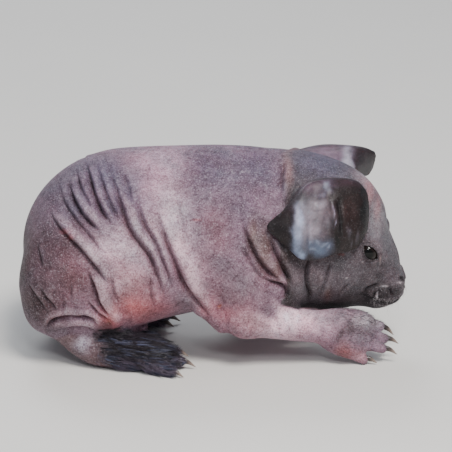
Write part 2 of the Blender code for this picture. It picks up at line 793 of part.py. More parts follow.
# Feet and forearms come off first, so that the wider cuts cannot reach them. Each cut names the piece
# it frees and a place inside it.
FOOT_RADII = (5.8, 6.9)
foot_right_wall = sleeve((-46.5, -11.4, 9.8), (-15, -17.7, 3.4), FOOT_RADII)
foot_right = parted(body, foot_right_wall, "hind_foot_right", (-12, -17, 3))
foot_left_wall = sleeve((-49.3, 12, 9), (-19.5, 17.6, 3.0), FOOT_RADII)
foot_left = parted(body, foot_left_wall, "hind_foot_left", (-16.5, 17.6, 3))
elbow_right = slice_at((24.5, -13.9, 11.2), (1, 0.14, -0.16), (6, 6))
forearm_right = parted(body, elbow_right, "forearm_right", (33, -12.5, 9.5))
elbow_left = slice_at((17.6, 15.3, 7.2), (1, -0.14, -0.38), (6.2, 6.2))
forearm_left = parted(body, elbow_left, "forearm_left", (24, 14, 4))
wrist_right = slice_at((32.5, -12.2, 9.2), (1, 0.1, -0.12), (9, 9))
paw_right = parted(forearm_right, wrist_right, "forepaw_right", (40, -10, 6))
wrist_left = slice_at((21.8, 14.6, 5.4), (1, -0.14, -0.35), (9, 9))
paw_left = parted(forearm_left, wrist_left, "forepaw_left", (28, 13, 3))
haunch_right = parted(body, ball_wall((-32, -26, 28), (17, 13, 15)), "haunch_right", (-32, -25, 28))
haunch_left = parted(body, ball_wall((-32, 26, 28), (17, 13, 15)), "haunch_left", (-32, 25, 28))
skull = parted(body, slice_at((21.8, 0, 36), (1, -0.1, 0.16), (50, 50)), "head", (50, -4, 22))
neck = parted(body, slice_at((13.5, 0, 35), (1, -0.05, 0.25), (40, 40)), "neck", (18, 0, 55))
chest = parted(body, slice_at((-8, 0, 31), (1, 0, 0.42), (60, 60)), "chest", (5, 0, 57))
body.name = "rump"

for side in (1, -1):
    open_eye(skull, side)
    cut(skull, nostril_cutter(side))
cut(skull, mouth_blade())
kept_only(skull, bodies_of(skull)[0])

right_rails = [[laid_on_head(*knot) for knot in rail] for rail in RIGHT_EAR_RAILS]
ear_right = ear("ear_right", right_rails, 19, 9)
ear_left = ear("ear_left", [[at(*p) for p in rail] for rail in LEFT_EAR_RAILS], 13, 8)
eyes = [object_from(name, eyeball(side)[0]) for name, side in (("eye_right", 1), ("eye_left", -1))]
claws = [
    claw(f"claw_{name}_{number}", toe)
    for name, foot in (
        ("fore_right", RIGHT_FORE_TOES),
        ("fore_left", LEFT_FORE_TOES),
        ("hind_right", RIGHT_HIND_TOES),
        ("hind_left", LEFT_HIND_TOES),
    )
    for number, toe in enumerate(foot, 1)
]

# The model stands with the centre of its box at the origin.
pieces = [body, chest, neck, skull, haunch_right, haunch_left]
pieces += [forearm_right, forearm_left, paw_right, paw_left]
pieces += [foot_right, foot_left, ear_right, ear_left, *eyes, *claws]
for piece in pieces[:10]:
    cleaned(piece)
for piece in pieces:
    set_points(piece.data, points_of(piece.data) + at(*CENTRING))

PINK_GREY = (0.36, 0.22, 0.22)
for piece in (body, chest, neck, haunch_right, haunch_left):
    painted(piece, PINK_GREY, 0.55)
for piece in (forearm_right, forearm_left, paw_right, paw_left):
    painted(piece, (0.52, 0.3, 0.29), 0.55)
painted(skull, (0.09, 0.07, 0.075), 0.5)
for piece in (foot_right, foot_left):
    painted(piece, (0.03, 0.024, 0.03), 0.5)
for piece in (ear_right, ear_left):
    painted(piece, (0.05, 0.032, 0.04), 0.45)
for piece in eyes:
    painted(piece, (0.008, 0.005, 0.005), 0.06)
for piece in claws:
    painted(piece, (0.2, 0.15, 0.12), 0.4)
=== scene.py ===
import math
from copy import copy

import bmesh
import bpy
import numpy as np
from mathutils import Matrix, Vector
from mathutils.bvhtree import BVHTree
from mathutils.kdtree import KDTree


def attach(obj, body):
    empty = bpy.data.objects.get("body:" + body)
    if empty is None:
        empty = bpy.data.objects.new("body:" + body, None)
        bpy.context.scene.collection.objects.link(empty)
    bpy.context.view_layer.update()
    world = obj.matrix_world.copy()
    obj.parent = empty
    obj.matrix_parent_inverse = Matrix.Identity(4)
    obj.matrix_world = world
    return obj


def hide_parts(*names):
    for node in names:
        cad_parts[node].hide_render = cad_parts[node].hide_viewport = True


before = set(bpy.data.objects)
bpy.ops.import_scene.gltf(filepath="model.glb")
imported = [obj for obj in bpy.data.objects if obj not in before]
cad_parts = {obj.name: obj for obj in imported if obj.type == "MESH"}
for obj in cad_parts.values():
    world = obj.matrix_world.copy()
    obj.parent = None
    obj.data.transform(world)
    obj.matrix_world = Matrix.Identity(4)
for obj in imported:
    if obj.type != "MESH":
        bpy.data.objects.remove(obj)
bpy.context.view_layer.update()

# The flesh of a guinea pig pup a few days old: trunk, head and four legs under one bare hide.
# Each mass is an egg-shaped lump or a tapering limb, and each melts into the ones before it.
# +X runs to the nose, +Y to the animal's left, +Z up, and its paws stand on Z = 0.
mm = 0.001
TINY = 1e-9
FLIP = np.array((1, -1, 1))


def at(x, y, z):
    return np.array((x, y, z), float) * mm


def turned(pitch=0.0, roll=0.0, yaw=0.0):
    """Rotation of a mass: pitch drops its front end, roll lifts its left side, yaw swings it left."""
    turn = (
        Matrix.Rotation(math.radians(yaw), 3, "Z")
        @ Matrix.Rotation(math.radians(pitch), 3, "Y")
        @ Matrix.Rotation(math.radians(roll), 3, "X")
    )
    return np.array(turn)


class Lump:
    """An egg-shaped mass, given by its centre, its three half-sizes and how far it melts into the rest.

    Where it reaches less far down than up, under is its half-size below the centre.
    """

    def __init__(self, centre, half, melt, turn=None, under=None):
        self.centre, self.half, self.melt = at(*centre), at(*half), melt * mm
        self.under = self.half[2] if under is None else under * mm
        self.turn = np.eye(3) if turn is None else turn

    def distance(self, points):
        local = (points - self.centre) @ self.turn
        x, y, z = local.T
        tall = np.where(z < 0, self.under, self.half[2])
        wide, deep = self.half[:2]
        inner = np.sqrt((x / wide) ** 2 + (y / deep) ** 2 + (z / tall) ** 2)
        outer = np.sqrt((x / wide**2) ** 2 + (y / deep**2) ** 2 + (z / tall**2) ** 2)
        return inner * (inner - 1) / np.maximum(outer, TINY)

    def add_to(self, mesh):
        place = Matrix.Translation(self.centre) @ Matrix(self.turn).to_4x4()
        shape = place @ Matrix.Diagonal((*self.half, 1))
        bmesh.ops.create_uvsphere(mesh, u_segments=20, v_segments=12, radius=1, matrix=shape)

    def mirrored(self):
        twin = copy(self)
        twin.centre, twin.turn = self.centre * FLIP, FLIP[:, None] * self.turn * FLIP
        return twin


def along_line(points, start, end, low=0.0, high=1.0):
    """How far along the line each point lies, as a share of it, and how it lies off the line."""
    along = end - start
    share = np.clip((points - start) @ along / (along @ along), low, high)
    return share, points - start - share[:, None] * along


def length_of(vectors):
    return np.sqrt((vectors**2).sum(1))


class Limb:
    """A tapering limb between two round ends."""

    def __init__(self, start, end, start_radius, end_radius, melt):
        self.start, self.end = at(*start), at(*end)
        self.radii, self.melt = (start_radius * mm, end_radius * mm), melt * mm

    def distance(self, points):
        share, away = along_line(points, self.start, self.end)
        radius = self.radii[0] + share * (self.radii[1] - self.radii[0])
        return length_of(away) - radius

    def add_to(self, mesh):
        along = Vector(self.end - self.start)
        middle = Matrix.Translation((self.start + self.end) / 2)
        place = middle @ along.to_track_quat("Z", "Y").to_matrix().to_4x4()
        bmesh.ops.create_cone(
            mesh, cap_ends=True, segments=14, radius1=self.radii[0], radius2=self.radii[1],
            depth=along.length, matrix=place,
        )
        for point, radius in zip((self.start, self.end), self.radii):
            place = Matrix.Translation(point)
            bmesh.ops.create_uvsphere(mesh, u_segments=14, v_segments=8, radius=radius, matrix=place)

    def mirrored(self):
        twin = copy(self)
        twin.start, twin.end = self.start * FLIP, self.end * FLIP
        return twin


def both(pieces):
    """The pieces of the right side and their mirror twins on the left."""
    return [twin for piece in pieces for twin in (piece, piece.mirrored())]


TRUNK = [
    Lump((-22, 0, 29.7), (30.2, 22.5, 27), 0, under=20.5),
    Lump((0, 0, 32), (31, 21, 25.5), 7, under=17.5),
    Lump((15, 0, 33.2), (20, 18.3, 21.6), 7),
    Lump((12, 0, 21), (13, 13, 12), 7),
    Lump((-42.5, 0, 18), (9, 8, 10.5), 5),
    *both([
        Lump((-30, -13.5, 27), (20, 10.5, 15.5), 8),
        Lump((-39, -9.6, 20.5), (13.4, 11, 11.6), 5),
        Lump((-44.6, -10.5, 14), (6.2, 8, 5.6), 4),
        Limb((-9.5, -20, 30), (-3.2, -17.4, 18), 3, 2.2, 3),
        Limb((-3.2, -17.4, 18), (2, -16.4, 11.6), 2.2, 1.5, 2),
        Lump((11, -13, 25), (12, 7.5, 14.5), 6),
    ]),
]

# The head leans and turns a little towards its right. Its places are given as if it faced ahead.
HEAD_PIVOT = at(20, 0, 36)
HEAD_SWING = turned(yaw=-9, roll=6)


def head_place(place):
    return HEAD_PIVOT + HEAD_SWING @ (at(*place) - HEAD_PIVOT)


def with_head(piece):
    """The piece turned with the head about the nape."""
    if isinstance(piece, Lump):
        piece.centre = head_place(piece.centre / mm)
        piece.turn = HEAD_SWING @ piece.turn
    else:
        piece.start, piece.end = head_place(piece.start / mm), head_place(piece.end / mm)
    return piece


EYE = np.array((43.2, -8.7, 32.7))
HEAD = [with_head(piece) for piece in [
    Lump((24, 0, 37.5), (14, 15, 18.3), 6),
    Lump((31.5, 0, 39), (14.5, 13.2, 14.5), 5),
    Limb((35.5, 0, 33), (44.8, 0, 20.8), 12.2, 6.9, 5),
    Limb((33, 0, 20.6), (44.3, 0, 17.0), 5.8, 4.5, 4),
    Lump((29.5, 0, 17.8), (11.5, 6.6, 7.0), 4),
    Lump((43, 0, 26.5), (7.4, 6, 7.4), 3),
    *both([
        Lump((32, -5.5, 25.6), (11, 7.8, 9.4), 5),
        Lump((47.1, -2.4, 19.3), (4.8, 3.6, 4.4), 2.5),
        Lump((41, -5, 30), (6, 4.5, 5), 4),
        Lump(EYE, (4.0, 2.6, 3.6), 2),
    ]),
]]

# Each toe runs from its root to its tip, and its claw on from there to the claw's tip.
TOES = {
    "fore_right": [
        ((40, -7.8, 10.2), (45.4, -7.6, 8.7), (48.1, -7.6, 6.9)),
        ((41, -10, 7.8), (46.4, -10.1, 6.0), (49.2, -10.1, 5.0)),
        ((40.5, -12.2, 5.8), (45.8, -12.7, 4.1), (48.7, -13, 3.0)),
        ((37, -13.2, 3.4), (40.7, -14, 1.5), (43.2, -14.4, 0.9)),
    ],
    "fore_left": [
        ((28, 10.7, 2.9), (33.4, 9.8, 1.8), (36.3, 9.4, 1.0)),
        ((29, 12.9, 3.1), (35, 12.8, 1.8), (38, 12.7, 1.0)),
        ((28.5, 15.2, 2.9), (34.2, 16, 1.7), (37, 16.4, 0.9)),
        ((25.5, 17, 2.5), (29.5, 18.8, 1.5), (32, 19.8, 0.8)),
    ],
    "hind_right": [
        ((-17, -13.8, 4), (-11.2, -12.6, 3.1), (-8.1, -12.2, 2.0)),
        ((-16.5, -17.4, 3.8), (-9.4, -17.8, 2.4), (-6.1, -18.0, 1.2)),
        ((-18, -20.6, 2.8), (-12.2, -23.2, 1.6), (-9.2, -24.4, 0.7)),
    ],
    "hind_left": [
        ((-21.5, 13.8, 3.8), (-15.6, 12.7, 2.8), (-12.5, 12.3, 1.7)),
        ((-21.2, 17.4, 3.6), (-14.1, 18, 2.2), (-10.8, 18.3, 1.1)),
        ((-22.9, 20.5, 2.7), (-17.3, 23.2, 1.6), (-14.5, 24.6, 0.7)),
    ],
}
FORE_TOE = (1.9, 1.35, 1.2)
HIND_TOE = (2.1, 1.45, 1.4)


def toes_of(foot, sizes):
    return [Limb(root, tip, *sizes) for root, tip, _ in TOES[foot]]


# Each leg from the shoulder or knee down, and its paw with the toes.
LEGS = {
    "fore_right": [
        Limb((12, -14.5, 24), (8.5, -16.2, 13.8), 7, 4.6, 0),
        Limb((8.5, -16.2, 13.8), (31, -13, 10.2), 4.5, 4.4, 3),
        Lump((36.3, -10.6, 7.5), (7.8, 6.8, 4.4), 3, turned(roll=38)),
        Lump((36.0, -11.6, 11.6), (7.6, 3.8, 3.2), 3),
        *toes_of("fore_right", FORE_TOE),
    ],
    "fore_left": [
        Limb((12, 14.5, 24), (7, 16.8, 11.4), 7, 4.4, 0),
        Limb((7, 16.8, 11.4), (19.5, 15, 6.4), 4.5, 3.7, 3),
        Lump((24.5, 14, 3.4), (7.2, 5.2, 3.6), 3, turned(roll=-8)),
        *toes_of("fore_left", FORE_TOE),
    ],
    "hind_right": [
        Limb((-41, -11.8, 11), (-32, -13.6, 6.4), 4.4, 4.6, 0),
        Limb((-30, -15, 18), (-38, -13, 11), 8, 5, 3),
        Lump((-24.6, -15.7, 5.0), (14.4, 5.5, 5.5), 4, turned(yaw=-10, pitch=3)),
        *toes_of("hind_right", HIND_TOE),
    ],
    "hind_left": [
        Limb((-44, 12.6, 9.8), (-36.5, 14, 5.2), 4.4, 4.6, 0),
        Limb((-30, 15, 18), (-40.5, 13.4, 10), 8, 5, 3),
        Lump((-29.4, 15.7, 4.5), (14.2, 5.4, 5.3), 4, turned(yaw=10)),
        *toes_of("hind_left", HIND_TOE),
    ],
}
LEG_MELT = 2.2 * mm


def melted(first, second, reach):
    """The union of two forms, rounded where they meet."""
    if reach <= 0:
        return np.minimum(first, second)
    near = np.maximum(reach - np.abs(first - second), 0) / reach
    return np.minimum(first, second) - near * near * reach / 4


def form_of(pieces, points, shape=None):
    for piece in pieces:
        own = piece.distance(points)
        shape = own if shape is None else melted(shape, own, piece.melt)
    return shape


def flesh(points):
    """Signed distance, in metres, from the smooth body under its folds."""
    torso = form_of(TRUNK, points)
    shape = form_of(HEAD, points, torso)
    for leg in LEGS.values():
        shape = np.minimum(shape, melted(torso, form_of(leg, points), LEG_MELT))
    return shape


def unit(vectors, least=0.0):
    return vectors / (np.linalg.norm(vectors, axis=1)[:, None] + least)


def outward(points):
    """The direction straight out of the smooth body at each point."""
    steps = 0.05 * mm * np.eye(3)
    return unit(np.stack([flesh(points + step) - flesh(points - step) for step in steps], axis=1))


def listed(items, key, width, kind=np.float32):
    values = np.empty(len(items) * width, kind)
    items.foreach_get(key, values)
    return values.reshape(-1, width)


def points_of(mesh):
    return listed(mesh.vertices, "co", 3).astype(float)


def normals_of(mesh):
    return listed(mesh.vertex_normals, "vector", 3).astype(float)


def edges_of(mesh):
    return listed(mesh.edges, "vertices", 2, np.int32)


def set_points(mesh, points):
    mesh.vertices.foreach_set("co", points.astype(np.float32).ravel())
    mesh.update()


def linked(name, data):
    """A new object of this mesh, lamp or camera, in the scene."""
    made = bpy.data.objects.new(name, data)
    bpy.context.scene.collection.objects.link(made)
    return made


def worked(body, kind, **settings):
    """The body with one modifier applied to its mesh."""
    tool = body.modifiers.new(kind.lower(), kind)
    for key, value in settings.items():
        setattr(tool, key, value)
    graph = bpy.context.evaluated_depsgraph_get()
    mesh = bpy.data.meshes.new_from_object(body.evaluated_get(graph), depsgraph=graph)
    body.modifiers.clear()
    body.data = mesh
    return body


def fused(body, grain):
    """One even closed skin over everything in the mesh."""
    return worked(body, "REMESH", mode="VOXEL", voxel_size=grain)


def relaxed(points, edges, share):
    """Each point drawn towards the middle of its neighbours by this share."""
    total, count = np.zeros_like(points), np.zeros(len(points))
    for a, b in (edges.T, edges.T[::-1]):
        for axis in range(3):
            total[:, axis] += np.bincount(a, points[b, axis], len(points))
        count += np.bincount(a, minlength=len(points))
    return points + share * (total / count[:, None] - points)


def settled(body, rounds, smooth_rounds, reach):
    """Moves the points along their normals until they lie on the smooth body."""
    edges = edges_of(body.data)
    for turn in range(rounds):
        points = points_of(body.data)
        if turn < smooth_rounds:
            points = relaxed(points, edges, 0.5)
            set_points(body.data, points)
        miss = np.clip(flesh(points), -reach, reach)
        set_points(body.data, points - miss[:, None] * normals_of(body.data))
    return body


FLESH_GRAIN = 0.9 * mm
rough = bmesh.new()
for piece in TRUNK + HEAD + sum(LEGS.values(), []):
    ball, mesh = bmesh.new(), bpy.data.meshes.new("ball")
    piece.add_to(ball)
    ball.to_mesh(mesh)
    rough.from_mesh(mesh)
    ball.free()
    bpy.data.meshes.remove(mesh)
skin = linked("skin", bpy.data.meshes.new("skin"))
rough.to_mesh(skin.data)
rough.free()
settled(fused(skin, FLESH_GRAIN), rounds=6, smooth_rounds=3, reach=FLESH_GRAIN)

# The ears: thin crumpled leaves of skin and gristle. The right one hangs over the side of the head,
# its rear edge drawn out to a point; the left one stands off and its front end curls down to a cup.
# Each is a leaf through a few rails, with a thickness, and its root is sunk into the head.
LOOK_DOWN = math.radians(18)
SIGHT = np.array((0.0, math.cos(LOOK_DOWN), -math.sin(LOOK_DOWN)))
RISE = np.array((0.0, math.sin(LOOK_DOWN), math.cos(LOOK_DOWN)))


def seen(points):
    """Places in millimetres, along and up, as an onlooker on the right sees them from a little above."""
    return np.stack((points[:, 0], points @ RISE), axis=1) / mm


def laid_on_head(x, height, lift):
    """The place seen at this spot, lifted off the skin towards the onlooker."""
    spot = np.array((x, 0, 0)) * mm + RISE * height * mm - SIGHT * 60 * mm
    for _ in range(40):  # it draws nearer by nine tenths of what is left
        spot = spot + SIGHT * flesh(spot[None])[0] * 0.9
    return spot - SIGHT * lift * mm


def smooth_curve(knots, count):
    """Evenly shared points on the smooth curve through the knots."""
    knots = np.array(knots, float)
    ends = np.vstack([2 * knots[0] - knots[1], knots, 2 * knots[-1] - knots[-2]])
    share = np.linspace(0, len(knots) - 1, count)
    k = np.minimum(share.astype(int), len(knots) - 2)
    t = (share - k)[:, None]
    a, b, c, d = (ends[k + n] for n in range(4))
    bend, twist = 2 * a - 5 * b + 4 * c - d, 3 * b - a - 3 * c + d
    return 0.5 * (2 * b + (c - a) * t + bend * t**2 + twist * t**3)


def beside(places, knots, reach):
    """Which places lie within reach of the smooth line, how far to its right, and at what share of it."""
    line = smooth_curve(knots, 5 * len(knots) - 4) if len(knots) > 2 else np.array(knots, float)
    low, high = line.min(0) - reach, line.max(0) + reach
    near = np.flatnonzero(((places > low) & (places < high)).all(1))
    here = places[near]
    gap, side, share = np.full(len(near), np.inf), np.zeros(len(near)), np.zeros(len(near))
    for number, (start, end) in enumerate(zip(line, line[1:])):
        part, away = along_line(here, start, end)
        along, far = end - start, length_of(away)
        closer = far < gap
        gap[closer] = far[closer]
        turn = away[:, 1] * along[0] - away[:, 0] * along[1]
        side[closer] = np.sign(turn)[closer]
        share[closer] = (number + part[closer]) / (len(line) - 1)
    return near, gap, side, share


def clamped(values):
    return np.clip(values, 0, 1)


def swelling(share, part):
    """0 at both ends of a line, 1 along its middle, rising over this part of it."""
    return clamped(share / part) * clamped((1 - share) / part)


def bell(gap, width):
    return np.exp(-((gap / width) ** 2))


def swell(places, ridges):
    """Height of the ridges, in millimetres, each a width, a height and the line it follows."""
    height = np.zeros(len(places))
    for width, tall, knots in ridges:
        near, gap, _, share = beside(places, knots, 3 * width)
        height[near] += tall * swelling(share, 0.2) * bell(gap, width)
    return height


# Rails run from root to rim: along the head, height as seen, lift off the skin.
RIGHT_EAR_RAILS = [
    [(22.6, 42.6, 0), (20.9, 40.4, 1.2), (18.2, 37.0, 1.6),
     (14.2, 33.2, 1.6), (17.4, 29.7, 1.9), (21.6, 26.2, 2.2)],
    [(24.2, 44.4, 0), (23.9, 43.2, 1.6), (23.0, 39.6, 3.2),
     (22.4, 34.4, 4.3), (22.4, 29.4, 4.7), (23.6, 24.4, 4.0)],
    [(26.8, 45.8, 0), (26.8, 44.6, 1.6), (26.7, 40.2, 1.3),
     (26.6, 34.4, 1.2), (26.9, 29.4, 1.5), (27.3, 24.3, 2.2)],
    [(30.6, 46.4, 0), (30.8, 45.2, 1.8), (31.5, 40.6, 2.8),
     (32.3, 34.8, 3.2), (32.7, 30.0, 3.3), (32.6, 25.9, 2.8)],
    [(35.2, 46.3, 0), (35.4, 45.2, 1.6), (36.4, 41.0, 2.0),
     (37.0, 35.4, 2.1), (37.2, 31.0, 2.1), (37.0, 26.9, 1.8)],
    [(38.4, 45.6, 0), (38.7, 44.6, 1.3), (39.5, 41.0, 1.7),
     (39.9, 36.6, 1.7), (39.6, 32.2, 1.7), (38.6, 28.2, 1.4)],
    [(40.0, 43.6, 0), (40.7, 42.6, 0.7), (41.3, 40.6, 0.7),
     (41.4, 37.0, 0.6), (41.1, 32.8, 0.6), (39.9, 30.0, 0.7)],
]
RIGHT_EAR_RIDGES = [
    (0.9, 0.6, [(22.6, 39.5), (21.9, 36), (21.6, 31), (22.2, 26)]),
    (0.6, -0.25, [(25.6, 34), (25.2, 31.8), (24.9, 29.5), (25.2, 25.6)]),
    (1.0, 0.35, [(31.2, 44.4), (30.6, 42.6), (29.8, 41.0), (27.8, 40.4)]),
    (0.45, 0.55, [(31.3, 40.2), (31.9, 37.2), (32.3, 34.4), (33.0, 31.0)]),
    (0.8, -0.8, [(32.9, 40.6), (33.3, 37.4), (33.7, 34.2), (33.9, 30.4)]),
    (0.5, -0.35, [(30.6, 36.4), (31.0, 33.6), (31.3, 30.6)]),
    (0.6, -0.4, [(30.2, 41.2), (28.6, 40.2), (26.4, 39.4)]),
    (0.7, 0.3, [(27.0, 29.4), (29.0, 30.6), (31.2, 31.0)]),
    (0.5, -0.2, [(25.8, 34.2), (28.2, 35.4), (30.2, 37.2)]),
    (0.9, 0.3, [(37.2, 33.6), (37.9, 31.0), (38.2, 28.6)]),
]
LEFT_EAR_RAILS = [
    [(21.5, 9.5, 53), (20.6, 14.5, 51.5), (21.6, 19, 49), (24, 22.5, 45)],
    [(25.5, 9.5, 53.5), (26.6, 15, 52.6), (28.3, 20.5, 51.2), (30, 24.6, 47)],
    [(29.5, 9.5, 53.3), (32, 15, 52.8), (34.8, 20, 51.8), (37, 23.8, 48)],
    [(34, 8.4, 52), (38, 13, 52.4), (41.8, 17, 51.8), (44.2, 19.6, 50.2)],
    [(36.8, 8.4, 50), (40.4, 13, 49.4), (43.2, 17.2, 47.8), (44.2, 19.4, 46.6)],
    [(38, 9, 47.5), (40, 13, 45.6), (41.8, 16.4, 44.4), (42.8, 17.8, 44.2)],
]
EAR_THICKNESS = 0.85 * mm
EAR_CLEARANCE = 0.35 * mm
EAR_ROOT_DEPTH = 0.8 * mm


def ear_leaf(rails, ridges, across, along):
    """Points of a leaf through the rails, ruffled by its ridges, as a grid across by along."""
    roots = np.array([rail[0] for rail in rails])
    for _ in range(4):
        roots = roots - flesh(roots)[:, None] * outward(roots)
    sunk = roots - EAR_ROOT_DEPTH * outward(roots)
    rails = [[root, *rail[1:]] for root, rail in zip(sunk, rails)]
    rows = np.array([smooth_curve(rail, along) for rail in rails])
    grid = np.stack([smooth_curve(rows[:, k], across) for k in range(along)], axis=1)
    flat = grid.reshape(-1, 3)
    lift = swell(seen(flat), ridges) * np.tile(clamped(np.linspace(0, 6, along)), across)
    return (flat - SIGHT * lift[:, None] * mm).reshape(across, along, 3)


def ear(name, rails, ridges, across, along):
    """The leaf given its thickness and held off the skin below its root."""
    grid = ear_leaf(rails, ridges, across, along)
    leaf = bmesh.new()
    verts = [[leaf.verts.new(p) for p in row] for row in grid]
    for upper, lower in zip(verts, verts[1:]):
        for k in range(along - 1):
            leaf.faces.new((upper[k], lower[k], lower[k + 1], upper[k + 1]))
    made = linked(name, bpy.data.meshes.new(name))
    leaf.to_mesh(made.data)
    leaf.free()
    worked(made, "SOLIDIFY", thickness=EAR_THICKNESS, offset=0)
    points = points_of(made.data)
    hung = np.tile(np.linspace(0, 1, along), across)
    hung = np.concatenate([hung, hung])[: len(points)]
    for _ in range(3):
        short = np.maximum(EAR_CLEARANCE - flesh(points), 0) * clamped(hung * 8 - 0.6)
        points = points + short[:, None] * outward(points)
    set_points(made.data, points)
    return made


right_rails = [[laid_on_head(*knot) for knot in rail] for rail in RIGHT_EAR_RAILS]
left_rails = [[at(*knot) for knot in rail] for rail in LEFT_EAR_RAILS]
ears = [
    ear("ear_right", right_rails, RIGHT_EAR_RIDGES, 120, 64),
    ear("ear_left", left_rails, [], 90, 56),
]

# The hide: one skin over the flesh and the ears, with no seam. It is fused at a fine grain, and the
# eyes, nose, mouth and ears are given finer faces still before the folds are pressed into it.
HIDE_GRAIN = 0.42 * mm
whole = bmesh.new()
whole.from_mesh(skin.data)
for piece in ears:
    whole.from_mesh(piece.data)
whole.to_mesh(skin.data)
whole.free()
fused(skin, HIDE_GRAIN)
leaf_points, leaf_faces = [], []
for piece in ears:
    shift = len(leaf_points)
    leaf_points += [tuple(vert.co) for vert in piece.data.vertices]
    leaf_faces += [tuple(corner + shift for corner in face.vertices) for face in piece.data.polygons]
leaves = BVHTree.FromPolygons(leaf_points, leaf_faces)


def near_leaf(points, reach):
    """For the points within reach of an ear: their numbers, the nearest place on the ear, how far."""
    close = np.zeros(len(points), bool)
    for piece in ears:
        low, high = points_of(piece.data).min(0) - reach, points_of(piece.data).max(0) + reach
        close |= ((points > low) & (points < high)).all(1)
    numbers, places, gaps = [], [], []
    for number in np.flatnonzero(close):
        place, _, _, gap = leaves.find_nearest(Vector(points[number]), reach)
        if place is not None:
            numbers.append(number)
            places.append(tuple(place))
            gaps.append(gap)
    return np.array(numbers, int), np.array(places), np.array(gaps)


def on_ear(points):
    """1 on the ears, 0 on the rest of the hide, soft at the ears' roots."""
    share = np.zeros(len(points))
    numbers, _, gaps = near_leaf(points, 0.5 * mm)
    off = clamped((flesh(points[numbers]) / mm - 0.25) / 0.5)
    share[numbers] = off * clamped(1.6 - gaps / (0.3 * mm))
    return share


def finer(body, wanted):
    """Halves the edges between the wanted points."""
    mesh = bmesh.new()
    mesh.from_mesh(body.data)
    chosen = [e for e in mesh.edges if wanted[e.verts[0].index] and wanted[e.verts[1].index]]
    bmesh.ops.subdivide_edges(mesh, edges=chosen, cuts=1, use_grid_fill=True)
    mesh.to_mesh(body.data)
    mesh.free()


def around(points, centre, radius):
    return ((points - centre) ** 2).sum(1) < (radius * mm) ** 2


def on_face(points, by_eyes, by_nose, nose):
    """Which points lie within these radii of the eyes and of a place on the nose."""
    right, left = head_place(EYE), head_place(EYE * FLIP)
    near = around(points, right, by_eyes) | around(points, left, by_eyes)
    return near | around(points, head_place(nose), by_nose)


points = points_of(skin.data)
finer(skin, (on_ear(points) > 0.3) | on_face(points, 6, 9.5, (48, 0, 20)))
finer(skin, on_face(points_of(skin.data), 4.2, 4.6, (51, 0, 20)))

# The finer faces are smoothed and drawn back onto the flesh and onto the leaves of the ears.
edges = edges_of(skin.data)
ear_share = on_ear(points_of(skin.data))
for turn in range(4):
    points = points_of(skin.data)
    if turn < 2:
        points = relaxed(points, edges, 0.4)
        set_points(skin.data, points)
    miss = np.clip(flesh(points), -0.3 * mm, 0.3 * mm)
    free = clamped(1 - 3 * ear_share) * (np.abs(flesh(points)) < 0.45 * mm)
    points = points - (miss * free)[:, None] * normals_of(skin.data)
    numbers, places, gaps = near_leaf(points, 0.6 * mm)
    pull = (ear_share[numbers] > 0.6)[:, None]
    points[numbers] += 0.8 * pull * (places - points[numbers])
    set_points(skin.data, points)
ear_share = on_ear(points_of(skin.data))

